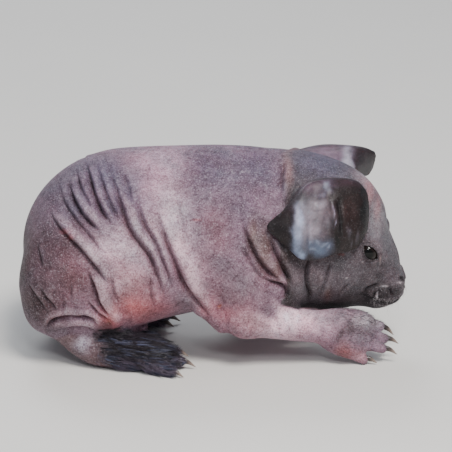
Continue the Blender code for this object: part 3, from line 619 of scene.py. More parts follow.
# Folds of the loose skin: the pup has more hide than it fills. Each fold is a crease with the skin
# rolled up along its right side, given by its half-width, its depth and the line that it follows, as
# seen. Jowls and rolls are plain swellings, given by width, height and line.
FOLD_WIDTH, FOLD_DEPTH = 1.3, 1.55
ROLL_LIMIT = 1.15
FLANK_FOLDS = [
    (0.7, 1.0, [(-35.0, 51.9), (-33.3, 46.4), (-31.4, 40.7), (-28.9, 36.1), (-25.9, 33.1)]),
    (0.6, 0.7, [(-31.9, 50.5), (-30.9, 48.1), (-30.0, 45.6), (-28.9, 42.6), (-27.8, 39.9),
        (-26.5, 37.4), (-25.1, 35.5), (-23.5, 33.6)]),
    (0.75, 1.2, [(-28.9, 51.9), (-27.0, 45.9), (-25.1, 40.4), (-23.5, 35.8), (-21.8, 32.0),
        (-19.1, 28.4), (-16.6, 24.9), (-15.0, 20.5), (-13.6, 15.8), (-12.8, 13.9)]),
    (0.6, 0.45, [(-25.4, 48.4), (-24.0, 46.4), (-22.9, 43.7), (-22.1, 41.0), (-21.0, 37.7)]),
    (0.7, 0.95, [(-20.7, 43.2), (-19.7, 37.7), (-18.0, 33.1), (-15.6, 29.2), (-13.6, 24.3),
        (-12.0, 19.7), (-10.4, 15.3)]),
    (0.95, 1.25, [(-15.6, 40.4), (-14.2, 33.9), (-12.3, 28.7), (-10.4, 24.0), (-8.7, 19.9),
        (-6.3, 15.3), (-2.4, 10.7), (1.4, 5.5)]),
    (0.5, 0.3, [(-10.1, 42.3), (-9.3, 38.5), (-8.5, 34.7), (-7.6, 31.1), (-6.5, 27.3)]),
    (0.75, 1.0, [(-39.3, 47.0), (-38.5, 43.2), (-37.4, 40.4), (-35.8, 37.7), (-34.4, 35.8),
        (-32.5, 33.9), (-30.9, 32.5), (-29.2, 30.9)]),
    (0.6, 0.55, [(-37.1, 50.0), (-36.6, 46.4), (-35.8, 43.7), (-34.4, 41.3), (-33.0, 39.1),
        (-31.7, 37.4)]),
    (0.6, 0.5, [(-41.8, 45.9), (-40.4, 40.4), (-37.4, 35.8), (-34.1, 32.0), (-30.9, 28.1),
        (-29.2, 25.7)]),
    (0.7, 0.8, [(-44.8, 38.5), (-42.1, 34.4), (-38.5, 30.3), (-35.2, 27.0), (-31.7, 22.7),
        (-28.9, 18.9), (-27.6, 17.5)]),
    (0.5, 1.0, [(-33.9, 22.4), (-32.8, 19.9), (-31.9, 17.8), (-31.1, 15.6), (-30.6, 13.4),
        (-29.5, 11.5), (-28.1, 9.8), (-27.0, 8.2)]),
    (0.34, 0.6, [(-33.9, 13.4), (-32.5, 12.0), (-30.9, 10.1), (-29.2, 9.0), (-27.6, 8.2)]),
    (0.55, 0.45, [(-27.0, 20.8), (-27.0, 18.0), (-26.5, 15.3), (-25.4, 12.6)]),
    (0.5, 0.5, [(-17.2, 21.3), (-16.6, 18.6), (-16.6, 15.8), (-16.1, 13.1), (-15.3, 10.9)]),
    (0.5, 0.5, [(-50.3, 18.6), (-48.3, 15.3), (-46.4, 12.6), (-44.5, 9.8)]),
    (0.5, 0.45, [(-46.7, 17.5), (-45.3, 14.8), (-43.4, 12.6), (-41.5, 10.4)]),
    (0.45, 0.4, [(-37.7, 18.3), (-38.0, 15.6), (-38.2, 12.6)]),
    (0.4, 0.35, [(-39.6, 13.7), (-40.1, 11.7), (-40.4, 9.8)]),
    (0.5, 0.4, [(-47.5, 29.5), (-46.4, 25.1), (-45.6, 21.9)]),
    (0.8, 0.95, [(7.1, 36.6), (8.2, 32.8), (9.3, 29.5), (11.2, 25.4), (13.1, 22.7), (15.0, 20.8),
        (17.2, 18.9), (19.1, 17.5)]),
    (0.6, 0.35, [(6.0, 30.6), (7.7, 27.3), (9.3, 24.3), (10.9, 21.3), (13.1, 19.1), (15.9, 17.5)]),
    (0.42, 0.85, [(12.3, 20.6), (14.2, 19.1), (16.4, 18.2), (18.4, 17.7), (19.5, 16.6), (19.8, 15.2),
        (18.9, 14.0), (17.6, 12.9)]),
]
HEAD_FOLDS = [
    (0.55, 1.0, [(14.5, 31.4), (15.9, 28.1), (17.2, 25.1), (18.6, 22.1), (20.0, 19.4), (21.1, 16.4)]),
    (0.7, 0.6, [(19.1, 51.6), (18.6, 48.4), (18.1, 44.3), (18.3, 39.6)]),
    (0.6, 0.5, [(22.2, 46.4), (20.8, 42.6), (19.7, 39.3), (19.1, 36.6)]),
    (0.34, 0.8, [(26.6, 27.7), (25.9, 25.0), (25.2, 22.0), (24.9, 19.1), (25.4, 16.6), (26.4, 14.4),
        (27.4, 12.6)]),
    (0.34, 0.55, [(31.8, 24.8), (31.2, 22.6), (30.4, 19.7), (29.6, 17.0), (28.6, 14.4), (27.8, 12.6)]),
    (0.34, 0.35, [(37.4, 18.6), (36.0, 17.0), (34.2, 15.4), (32.6, 13.6), (31.2, 12.4)]),
    (0.35, 0.55, [(40.2, 13.4), (40.5, 15.3), (41.5, 16.7), (43.5, 17.5), (45.4, 17.8)]),
    (0.3, 0.4, [(42.6, 13.1), (43.7, 15.0), (45.4, 16.4)]),
    (0.3, 0.4, [(47.8, 13.4), (48.1, 15.3), (47.3, 16.9)]),
]
JOWLS = [
    (1.5, 0.8, [(21.3, 24.6), (22.7, 20.2), (23.2, 16.4), (23.0, 12.6)]),
    (1.7, 0.9, [(28.4, 23.5), (28.2, 19.7), (27.9, 15.8), (27.9, 12.0)]),
    (1.4, 0.7, [(33.9, 20.2), (33.6, 16.9), (32.8, 14.2), (32.3, 12.3)]),
    (0.8, 0.45, [(41.5, 14.8), (42.1, 15.8), (43.2, 16.4)]),
    (0.9, 0.5, [(44.8, 14.2), (45.9, 15.3), (47.0, 15.0)]),
    (0.8, 0.4, [(48.4, 15.0), (49.5, 15.8), (50.6, 16.1)]),
]
HOCK_FOLDS = [
    (0.42, 1.0, [(-45.9, 3.4), (-44.0, 7.6), (-40.4, 9.2), (-36.6, 9.3), (-32.5, 9.0), (-30.9, 7.2)]),
    (0.36, 0.55, [(-41.6, 5.3), (-38.8, 6.2), (-36.6, 6.5), (-34.4, 6.4), (-32.5, 5.5), (-30.3, 4.8)]),
    (0.32, 0.5, [(-35.4, 10.2), (-33.9, 9.6), (-32.5, 8.5), (-31.1, 7.1), (-29.8, 6.4)]),
]
SKIN_ROLLS = [
    (1.3, 0.8, [(-44.0, 5.5), (-41.5, 7.1), (-36.6, 7.9), (-32.2, 7.4), (-27.8, 6.0)]),
    (1.5, 1.2, [(-31.4, 21.9), (-30.0, 17.5), (-28.9, 13.7), (-27.6, 10.9), (-26.2, 8.7), (-26.8, 6.6)]),
    (1.3, 0.9, [(-43.4, 37.4), (-40.4, 34.4), (-37.7, 31.4), (-34.7, 28.4), (-31.9, 25.4), (-29.5, 22.1)]),
]


def head_side(points):
    """How far to the head's left each point lies."""
    return ((points - HEAD_PIVOT) @ HEAD_SWING)[:, 1]


def on_right(points):
    """The points with those of the left side reflected to the right: of the body, and of the head."""
    body = np.where((points[:, 1] > 0)[:, None], points * FLIP, points)
    reflected = HEAD_PIVOT + ((points - HEAD_PIVOT) @ HEAD_SWING * FLIP) @ HEAD_SWING.T
    return body, np.where((head_side(points) > 0)[:, None], reflected, points)


def pressed(places, folds):
    """Relief of the folds in millimetres: creases below 0, rolled skin above 0."""
    relief = np.zeros(len(places))
    for width, depth, knots in folds:
        width, depth = width * FOLD_WIDTH, depth * FOLD_DEPTH
        near, gap, side, share = beside(places, knots, 6 * width)
        fade = swelling(share, 0.34)
        fade = fade * fade * (3 - 2 * fade)
        width = width * (0.5 + 0.5 * fade)
        right, left = np.maximum(gap * side, 0), np.maximum(-gap * side, 0)
        edge = clamped(1 - (gap / (6 * width)) ** 2)
        roll = right / (1.3 * width)
        roll = 0.8 * roll * np.exp(1 - roll)
        valley = 0.3 * np.where(left > 0, bell(left, 2.4 * width), bell(gap, width))
        crease = 0.5 * bell(gap, width) + 0.4 * bell(gap, 0.42 * width)
        relief[near] += depth * fade * edge * (roll - valley - crease)
    return relief


def folds_at(points):
    """Relief of every fold at each point of the hide, in millimetres."""
    body_side, head_points = on_right(points)
    drift = clamped(points[:, 1] / (6 * mm))
    wander = np.stack((np.sin(points[:, 2] * 170) + 0.6, np.sin(points[:, 0] * 140)), axis=1)
    places = seen(body_side) + wander * drift[:, None] * 1.1
    relief = pressed(places, FLANK_FOLDS)
    relief += pressed(seen(body_side), HOCK_FOLDS) + swell(seen(body_side), SKIN_ROLLS)
    relief += pressed(seen(head_points), HEAD_FOLDS) + swell(seen(head_points), JOWLS)
    return np.where(relief > 0, ROLL_LIMIT * np.tanh(relief / ROLL_LIMIT), relief)


points = points_of(skin.data)
fold_relief = folds_at(points) * (1 - ear_share)
# Under the belly and on the inner sides of the legs the skin lies smooth.
underside = clamped((normals_of(skin.data)[:, 2] + 0.75) / 0.35)
fold_relief *= underside
set_points(skin.data, points + (fold_relief * mm)[:, None] * normals_of(skin.data))

# The face: lids that hug the eyes, comma nostrils, a mouth with soft lips. They are pressed into the
# same skin, each in its own small frame that turns with the head.
EYE_RADIUS = 3.0
EYE_BULGE = 0.15
EYE_ALONG = (0.58, 0.32, -0.75)
EYE_OPENING = (2.65, 1.38)
EYE_SHIFT = (0.25, 0.6)
LID_THICKNESS = 0.32
NOSTRIL = (52.4, -2.5, 21.9)
NOSTRIL_HALF = (2.2, 0.62, 1.15)
MOUTH = [(41.6, -9, 20.2), (44.1, -7, 17.4), (47.3, -6, 16.3), (50.5, -3.8, 16.4), (51.8, 0, 17)]
CLEFT = [(52.6, 0, 22.0), (52.6, 0, 20.4), (52.2, 0, 18.6), (51.4, 0, 17.2)]


def eye_frame(side):
    """Centre of the eyeball and its axes: along the opening, across it, and outward."""
    flip = np.array((1, side, 1))
    spot = head_place(EYE * flip)
    for _ in range(4):
        spot = spot - flesh(spot[None])[0] * outward(spot[None])[0]
    out = outward(spot[None])[0]
    along = HEAD_SWING @ (EYE_ALONG * flip)
    along = along - (along @ out) * out
    along /= np.linalg.norm(along)
    across = np.cross(out, along) * side
    return spot - (EYE_RADIUS - EYE_BULGE) * mm * out, along, across, out


def step_up(value, low, high):
    share = clamped((value - low) / (high - low))
    return share * share * (3 - 2 * share)


def lidded(points, side):
    """Moves the skin over the eyeball: two lids that hug it, an almond opening, a crease around. It also
    gives how near each point lies to the lids' edges, where shade is painted.
    """
    centre, along, across, out = eye_frame(side)
    local = (points - centre) / mm
    u, v, w = local @ along, local @ across, local @ out
    near = (w > 0) & (u * u + v * v < 5.5**2)
    u, v, w = u[near], v[near], w[near]
    slid, slipped = u - EYE_SHIFT[0], v - EYE_SHIFT[1]
    half = EYE_OPENING[1] * (1 - np.abs(slid / EYE_OPENING[0]) ** 2.1)
    off = np.abs(slipped) - half
    off = np.where(np.abs(slid) > EYE_OPENING[0], np.hypot(off, np.abs(slid) - EYE_OPENING[0]), off)
    ball = np.sqrt(np.maximum(EYE_RADIUS**2 - u * u - v * v, 0.01))
    lid = ball + LID_THICKNESS + 0.14 * bell(off - 0.28, 0.22)
    lid = np.maximum(lid, w - 0.3) - 0.12 * bell(off - 1.0, 0.25)
    outer = lid + (w - lid) * step_up(off, 0.6, 2.0)
    inner = ball - 0.7
    fresh = inner + (outer - inner) * step_up(off, -0.1, 0.1)
    moved, rim = points.copy(), np.zeros(len(points))
    moved[near] += ((fresh - w) * mm)[:, None] * out
    rim[near] = bell(np.maximum(off, 0), 0.42)
    return moved, rim


def line_gap(points, line):
    """Distance of each point from a line in space, in millimetres."""
    gaps = [length_of(along_line(points, start, end)[1]) for start, end in zip(line, line[1:])]
    return np.min(gaps, axis=0) / mm


half_mouth = np.array(MOUTH, float)
mouth_knots = np.vstack([half_mouth, half_mouth[-2::-1] * (1, -1, 1)])
mouth_line = [head_place(p) for p in smooth_curve(mouth_knots, 40)]
points = points_of(skin.data)
# How near each point lies to the lids' edges, darkened there later as painted shade.
lid_edge_shade = np.zeros(len(points))
for side in (1, -1):
    points, rim = lidded(points, side)
    lid_edge_shade = np.maximum(lid_edge_shade, rim)
set_points(skin.data, points)
normals = normals_of(skin.data)
muzzle = np.flatnonzero(around(points, head_place((47, 0, 19)), 13))
local = points[muzzle]
gap = line_gap(local, mouth_line)
shift = 0.32 * bell(gap - 0.95, 0.5) - 0.95 * bell(gap, 0.36)
# The nostril openings, darkened later as painted shade inside them.
nostril_shade = np.zeros(len(points))
for side in (1, -1):
    flip = np.array((1, side, 1))
    centre = head_place(NOSTRIL * flip)
    turn = HEAD_SWING @ np.array(Matrix.Rotation(side * math.radians(35), 3, "X"))
    away = (local - centre) @ turn / mm / NOSTRIL_HALF
    radius = length_of(away)
    shift += 0.28 * bell(radius - 1.5, 0.35) - 1.3 * np.exp(-((radius / 0.95) ** 4))
    nostril_shade[muzzle] = np.maximum(nostril_shade[muzzle], np.exp(-((radius / 1.15) ** 4)))
cleft = [head_place(p) for p in smooth_curve(CLEFT, 12)]
shift -= 0.45 * bell(line_gap(local, cleft), 0.32)
points[muzzle] += (shift * mm)[:, None] * normals[muzzle]
set_points(skin.data, points)
# The slit of the mouth, darkened later as painted shade between the lips.
mouth_shade = np.zeros(len(points))
mouth_shade[muzzle] = bell(gap, 0.8)

# What hangs lower than the sole is pressed flat, as the pup's own weight does. The leaves of the ears
# are part of the hide by now.
SOLE = 0.25 * mm
points = points_of(skin.data)
points[points[:, 2] < SOLE, 2] = 0
set_points(skin.data, points)
skin.data.shade_smooth()
for piece in ears:
    bpy.data.objects.remove(piece)

# Colours of the hide, painted point by point: mauve and slate on the back, pink where the blood shows
# through, near black on head and ears. Some washes also paint shade on rump, neck and throat, and highlights
# on rolls, ears and nostril. Each wash is a colour, a strength and soft spots, as seen.


def tint(red, green, blue):
    """A colour as the eye reads it, 0 to 255, turned into light."""
    share = np.array((red, green, blue)) / 255
    return np.where(share < 0.04045, share / 12.92, ((share + 0.055) / 1.055) ** 2.4)


def smoke(points, size, seed, octaves=3):
    """Soft cloudy values from about -1 to 1, with features of about this size in millimetres."""
    chance = np.random.default_rng(seed)
    total, weight = np.zeros(len(points)), 0
    for octave in range(octaves):
        for _ in range(7):
            wave = chance.normal(size=3)
            wave *= 2**octave * math.tau / (size * mm * 2.4) / np.linalg.norm(wave) * chance.uniform(0.7, 1.3)
            total += np.sin(points @ wave + chance.uniform(0, math.tau)) / 2**octave
        weight += 2.6 / 2**octave
    return total / weight


MAUVE = (134, 109, 125)
BODY_WASHES = [
    ((84, 74, 95), 0.9, [(-30, 47, 10, 7), (-22.5, 42.0, 4.5, 6.5), (-36, 41, 6, 7), (-28, 39, 5, 5)]),
    ((88, 74, 95), 0.9, [(-1, 50, 8, 7), (11, 50, 10, 8)]),
    ((178, 144, 162), 0.85, [(-14.5, 50, 6.5, 6), (-15, 43, 5, 5)]),
    ((110, 91, 110), 0.8, [(7, 38, 7, 8)]),
    ((126, 94, 105), 0.75, [(0.5, 30, 5, 9)]),
    # Pale lilac on the flank's roll and the thigh: partly the skin's own paleness, partly painted highlight
    # where light falls.
    ((212, 186, 198), 0.85, [(-12, 37, 3.5, 7), (-9, 29, 3.2, 6), (-5.5, 20, 3, 7), (-24.5, 27, 7, 5.5)]),
    ((186, 150, 157), 0.8, [(-23, 18.5, 7, 4.5)]),
    # Painted shade: the rump's rear edge, turned away from the light, is darkened.
    ((84, 60, 68), 0.92, [(-45, 27, 8, 11), (-40, 28, 6, 7)]),
    ((94, 80, 95), 0.88, [(-42, 42, 7, 8)]),
    # Painted shade, deeper still, on the low rear of the rump.
    ((66, 47, 48), 0.92, [(-48, 13, 8, 8), (-52, 24, 4, 14)]),
    ((112, 74, 80), 0.85, [(-37, 19, 6, 7)]),
    ((182, 98, 100), 0.9, [(-21, 12, 8, 4.0), (-28, 9, 3, 4)]),
    ((136, 112, 122), 0.7, [(6, 17, 7, 6)]),
    ((160, 102, 112), 0.85, [(5, 9.5, 8, 4.5), (-1, 12, 4, 5)]),
    # Painted shade: dark brown behind the cheek, under the ear's rear point and in the neck's fold.
    ((86, 56, 51), 0.93, [(14.2, 26.6, 3.0, 7), (17.4, 21.6, 2.6, 4.5), (11.5, 30, 2.4, 5)]),
]
# Crests of the rolls: pale stretched skin with a painted highlight, bluish on the back.
LIT_STRETCHED_CREST = (226, 200, 208)
ROLL_WASHES = [((148, 140, 166), 0.92, [(-30, 46, 11, 8), (-42, 42, 7, 8), (-44, 28, 7, 10)]),
    ((170, 140, 140), 0.7, [(13, 27, 5, 9)])]
HEAD_SLATE = (80, 72, 77)
FACE_EDGE = [(11, 18.6), (13.1, 17.9), (14.2, 19.0), (16.0, 19.5), (18.0, 19.5), (19.5, 19.1),
    (22, 18.4), (24.5, 17.8), (28, 17.3), (32, 17.6), (38, 18.6)]
HEAD_WASHES = [
    ((84, 79, 98), 0.95, [(29, 50, 10, 4.5)]),
    ((160, 118, 116), 0.5, [(19.6, 48.0, 1.3, 4.5)]),
    ((144, 136, 143), 0.86, [(44.0, 34, 2.6, 6.0), (40.5, 45, 3.2, 4)]),
    ((166, 118, 122), 0.6, [(41.5, 43, 1.2, 4), (43.8, 37.4, 0.9, 4)]),
    ((92, 84, 90), 0.75, [(46.7, 29.5, 3, 5), (35.8, 21, 4, 4)]),
    ((84, 77, 83), 0.75, [(47.5, 21.5, 3, 4)]),
    ((106, 95, 101), 0.85, [(22.4, 19.0, 2.0, 3.0), (29, 19, 3, 3)]),
    # Painted shadow that the ear casts on the neck below it.
    ((48, 35, 31), 0.85, [(19.6, 25.6, 2.4, 2.6), (24.2, 26.6, 3, 1.6)]),
    # Painted shade deep in the crease of the throat.
    ((50, 32, 28), 0.92, [(19.8, 18.4, 0.8, 2.2), (19.2, 21.6, 0.8, 2.4)]),
    ((112, 70, 60), 0.5, [(30.8, 14.6, 1.1, 2)]),
    # Painted shadow: the throat under the chin and jowls, and a crease beside the jowl, near black.
    ((22, 15, 12), 0.97, [(22, 9.0, 14, 3.6), (34, 9.5, 8, 3.2), (20.4, 12.8, 2.2, 2.6),
        (25.6, 15.4, 0.7, 2.4)]),
    ((46, 38, 40), 0.9, [(44.5, 14.2, 6, 2.6), (36, 12.3, 5, 2.4)]),
    ((34, 29, 32), 0.9, [(41.4, 14.6, 1.0, 2.6), (49.6, 15.6, 1.4, 1.4), (45.6, 15.6, 3.2, 1.8)]),
    ((44, 38, 42), 0.8, [(45.6, 23.2, 1.4, 0.8), (44.4, 24.4, 0.9, 0.8)]),
]
LEG_TOP = [(16, 14.5), (18, 13.0), (20.8, 11.9), (23.5, 11.1), (28, 10.4), (30, 9.0), (31, 0)]
LEG_WASHES = [
    # Pale pink of the foreleg, raised to near white as painted light on its lit top.
    ((255, 214, 228), 0.98, [(19, 8.0, 11, 6)]),
    ((146, 106, 113), 0.9, [(9.5, 7.2, 5.2, 4.5)]),
    ((128, 116, 126), 0.85, [(41, 6.5, 6, 5), (33, 8.5, 3, 2.6)]),
    ((72, 56, 62), 0.9, [(37.0, 5.2, 2.6, 2.8), (34.6, 3.6, 1.4, 2.6)]),
    ((178, 132, 140), 0.85, [(39.4, -2.0, 2.6, 1.8)]),
    ((150, 92, 92), 0.8, [(35.6, -1.6, 1.8, 2.4)]),
    ((172, 164, 170), 0.7, [(41.5, 7.6, 4, 2)]),
]
# The heel's colour is painted shade cast by the haunch. Its first wash is a painted spot of light, and its
# second a pink roll.
SHADED_HEEL = (106, 80, 82)
HEEL_WASHES = [((222, 208, 224), 0.92, [(-35.0, 1.4, 2.2, 3.0)]), ((150, 118, 120),
    0.7, [(-41, 5, 3, 3)])]
FUR_SKIN = (44, 38, 46)
EAR_BROWN = (26, 14, 13)
EAR_WASHES = [
    ((74, 53, 69), 0.9, [(25.6, 43.4, 5.0, 2.2), (30, 44.6, 3, 1.2)]),
    ((54, 36, 44), 0.7, [(36, 45.0, 5, 1.4)]),
    ((34, 20, 26), 0.9, [(22.4, 41.6, 1.6, 2.2), (20.2, 39.0, 1.2, 2.2)]),
    ((128, 116, 124), 0.95, [(26.6, 35.4, 4.4, 6.0)]),
    ((140, 132, 142), 0.7, [(25.6, 34.6, 1.8, 2.4), (28.4, 39.4, 1.6, 1.0), (27.4, 32.4, 1.2, 1.6)]),
    ((86, 78, 86), 0.6, [(30.0, 34.4, 0.8, 2.0), (27.4, 37.6, 1.4, 0.4), (26.2, 30.9, 2.4, 0.5),
        (28.8, 31.4, 0.5, 1.4)]),
    ((132, 127, 138), 0.85, [(24.9, 33.0, 1.6, 5.4)]),
    # Painted sheen: the bluish white stripe along the ear's rolled rear ridge, and the bluish shiny patch
    # below it with its glints.
    ((162, 168, 192), 0.95, [(22.7, 35.6, 1.3, 3.4), (22.2, 31.6, 1.3, 3.6)]),
    ((120, 131, 154), 0.95, [(21.8, 27.6, 1.5, 3.2), (23.0, 25.6, 1.3, 1.6)]),
    ((84, 94, 114), 0.93, [(28.0, 27.6, 3.4, 2.2)]),
    ((132, 140, 158), 0.5, [(29.0, 28.6, 1.0, 0.4), (26.6, 27.0, 0.8, 0.35), (27.6, 29.4, 0.5, 0.5),
        (30.2, 27.4, 0.4, 0.5), (25.9, 28.4, 0.3, 0.6)]),
    # Painted highlights on the knob at the ear's root and along its thin crest.
    ((112, 104, 120), 0.7, [(30.3, 43.3, 1.3, 1.6), (28.7, 41.4, 1.2, 0.7), (31.6, 37.4, 0.3, 1.6),
        (32.4, 34.0, 0.22, 1.2)]),
    ((140, 136, 152), 0.5, [(30.0, 43.6, 0.7, 1.0), (31.7, 36.8, 0.12, 0.7), (32.5, 34.0, 0.1, 0.5)]),
    # Painted shade: the rear lobe facing away, the deep band under the front rim, and the drop beside the
    # crest.
    ((20, 13, 16), 0.92, [(16.6, 32, 4.6, 6.4)]),
    ((12, 9, 12), 0.92, [(40.4, 37, 1.2, 8)]),
    ((10, 6, 6), 0.92, [(33.9, 36.0, 0.8, 7), (33.2, 29.0, 0.9, 2.4)]),
    ((48, 30, 29), 0.7, [(36.2, 38.0, 2.0, 3.0)]),
    # Painted sheen: bluish grey streaks on the dark front half.
    ((70, 64, 72), 0.6, [(35.8, 31.6, 0.5, 1.6), (38.4, 30.6, 0.5, 1.4), (37.0, 29.0, 0.4, 1.0)]),
]
FAR_EAR_WASHES = [
    ((112, 90, 108), 0.9, [(30, 52, 8, 4), (36, 52, 3, 4)]),
    ((158, 154, 168), 0.9, [(36.6, 51, 1.5, 4)]),
    ((36, 29, 33), 0.95, [(41.8, 50, 3.0, 4.0)]),
]
MARKS = [
    ((66, 48, 56), 0.9, [(-3.9, 22.6, 0.42, 0.55), (4.0, 23.5, 0.28, 0.3)]),
    ((96, 78, 88), 0.5, [(6.2, 30.0, 0.3, 0.25), (4.4, 20.4, 0.25, 0.25), (1.2, 27.6, 0.2, 0.25),
        (8.8, 25.6, 0.25, 0.2)]),
    ((160, 82, 50), 0.85, [(1.4, 11.6, 0.4, 0.45), (1.8, 12.0, 0.3, 0.3)]),
    ((190, 84, 88), 0.55, [(-39.2, 31.9, 1.3, 0.7), (-37.8, 30.4, 0.9, 0.7)]),
    ((190, 96, 104), 0.5, [(-4.6, 34.9, 1.0, 0.3)]),
    ((140, 70, 52), 0.8, [(-28.0, 7.6, 0.6, 0.7)]),
]
HEAD_MARKS = [
    ((168, 150, 150), 0.6, [(44.9, 24.2, 0.3, 0.9)]),
    # A painted glint on the nostril's rim, and pale streaks of bristle on the lip.
    ((170, 164, 168), 0.85, [(50.6, 17.9, 0.75, 0.3), (46.5, 17.0, 0.9, 0.25), (44.4, 14.6, 0.25, 1.1)]),
    ((92, 30, 28), 0.95, [(33.8, 26.0, 0.6, 0.6), (34.6, 25.6, 0.5, 0.4)]),
    ((200, 196, 196), 0.5, [(35.8, 19.3, 0.25, 0.22), (29, 19.5, 0.2, 0.2), (40, 23.6, 0.2, 0.2)]),
]


def plain(colour, points):
    return np.tile(tint(*colour), (len(points), 1))


def washed(colour, places, washes, crisp=1):
    """The colours with each wash laid over them, thickest at the middle of its spots."""
    for wash, strength, spots in washes:
        cover = np.zeros(len(places))
        for along, height, wide, tall in spots:
            away = ((places[:, 0] - along) / wide) ** 2 + ((places[:, 1] - height) / tall) ** 2
            cover = np.maximum(cover, np.exp(-(away**crisp)))
        colour = blended(colour, tint(*wash), strength * cover)
    return colour


def blended(colour, other, share):
    return colour + share[:, None] * (other - colour)


def wandering(points, size, seeds, octaves=3):
    """A cloudy shift of the places as seen, so that no wash has a plain edge."""
    return np.stack([smoke(points, size, seed, octaves) for seed in seeds], axis=1)


def limb_share(points, leg):
    """1 on that leg below the trunk, 0 elsewhere."""
    others = np.minimum(form_of(TRUNK, points), form_of(HEAD, points))
    return step_up(others - form_of(LEGS[leg], points), 0.3 * mm, 1.6 * mm)


FUR_EDGE = {"hind_right": -33, "hind_left": -39}


def fur_share(points, leg):
    """1 where the hind foot is furred, fading towards the bare heel."""
    ahead = points[:, 0] / mm - FUR_EDGE[leg] + 0.35 * (points[:, 2] / mm - 4)
    ragged = smoke(points, 2.2, 11) * 1.6
    return limb_share(points, leg) * step_up(ahead + ragged, -2.0, 7.0)


def hide_colour(points, ears_here, relief):
    """The hide's colour at each point, with the washes of its part of the body and its folds."""
    side, head_points = on_right(points)
    drift = clamped(points[:, 1] / (8 * mm))[:, None]
    wander = wandering(points, 7, (5, 6)) * (1.4 + 3 * drift)
    places, head_places = seen(side) + wander, seen(head_points) + wander * 0.5
    mauve = plain(MAUVE, points)
    colour = washed(mauve, places, BODY_WASHES)
    legs_here = np.maximum(limb_share(points, "fore_right"), limb_share(points, "fore_left"))
    leg_top = np.interp(places[:, 0], *zip(*LEG_TOP))
    below_top = step_up(leg_top - places[:, 1], -0.3, 0.5) * step_up(places[:, 0], 15, 19)
    legs_here = np.maximum(legs_here, below_top)
    fore = washed(mauve, places, BODY_WASHES[-2:] + LEG_WASHES)
    colour = blended(colour, fore, legs_here)
    # The dark head starts at the nape and, below the ear, at the loose folds of the throat.
    spot = seen(head_points) + wander * 0.5 * step_up(head_places[:, 1], 26, 34)[:, None]
    edge = np.interp(spot[:, 1], *zip(*FACE_EDGE))
    blur = 0.35 + 1.3 * step_up(spot[:, 1], 24, 34)
    face = step_up((spot[:, 0] - edge) / blur, -1, 1) * (1 - legs_here)
    slate = washed(plain(HEAD_SLATE, points), head_places, HEAD_WASHES)
    colour = blended(colour, washed(slate, seen(head_points), HEAD_MARKS), face)
    colour = washed(colour, seen(side), MARKS)
    for leg in ("hind_right", "hind_left"):
        # Below the haunch the heel takes its painted shade and its painted spot of light.
        heel = limb_share(points, leg) * step_up(-points[:, 2], -12 * mm, -9 * mm)
        colour = blended(colour, washed(plain(SHADED_HEEL, points), places, HEEL_WASHES), heel * 0.85)
        colour = blended(colour, tint(*FUR_SKIN), fur_share(points, leg) ** 1.6)
    # The ears' washes hold their own browns and purples, and also painted sheen, highlights and shade.
    ear_places = seen(points) + wandering(points, 2.2, (31, 32), 4) * 0.62
    ear_colour = plain(EAR_BROWN, points)
    near = washed(ear_colour, ear_places, EAR_WASHES, crisp=1.3)
    far = washed(ear_colour, ear_places, FAR_EAR_WASHES, crisp=1.3)
    ear_colour = np.where(points[:, 1:2] > 0, far, near) * (1 + 0.16 * smoke(points, 0.9, 33))[:, None]
    colour = blended(colour, ear_colour, ears_here)
    # Creases are darkened as painted shade, partly the blood's own darkness there. The rolls between them are
    # lightened, partly as stretched pale skin and partly as painted highlight on their crests.
    crease = clamped(-relief / 1.3) * 0.55
    crest = clamped((relief - 0.2) / 1.1) * 0.5 * (1 - ears_here) * (1 - 0.9 * face)
    rolled = washed(plain(LIT_STRETCHED_CREST, points), places, ROLL_WASHES)
    colour = colour * (1 - crease[:, None] * (0.84, 1.08, 1.06)) + crest[:, None] * (rolled - colour)
    cloud = 1 + 0.16 * smoke(points, 3.0, 21) + 0.12 * smoke(points, 1.2, 23)
    blush = 0.08 * smoke(points, 5.5, 22)
    colour = colour * np.stack((cloud + blush, cloud - 0.5 * blush, cloud - 0.3 * blush), axis=1)
    return np.clip(colour, 0.004, 0.9)


def attribute(mesh, name, values):
    """Keeps a colour or a number for each point of the mesh, to be read by its material."""
    if values.ndim == 2:
        values = np.hstack((values, np.ones((len(values), 1))))
    kind, key = ("FLOAT_COLOR", "color") if values.ndim == 2 else ("FLOAT", "value")
    made = mesh.attributes.new(name, kind, "POINT")
    made.data.foreach_set(key, values.astype(np.float32).ravel())


points = points_of(skin.data)
paint = hide_colour(points, ear_share, fold_relief)
# Painted shade: darker in the slit of the mouth, inside the nostrils and along the lids' edges.
paint *= (1 - 0.8 * np.maximum(np.maximum(mouth_shade * 0.8, nostril_shade), lid_edge_shade))[:, None]
head_share = step_up(seen(points)[:, 0], 18, 21)
furred = np.maximum(fur_share(points, "hind_right"), fur_share(points, "hind_left"))
attribute(skin.data, "hide", paint)
attribute(skin.data, "ear", ear_share)
attribute(skin.data, "dark_head", head_share * (1 - ear_share))
attribute(skin.data, "furred", furred)

# The finish of the bare hide: a fine grain, blotches, pores and stretched lines vary its colour and
# its relief. The ears are smoother and glossier, and the dark head shows its pores as pale specks.


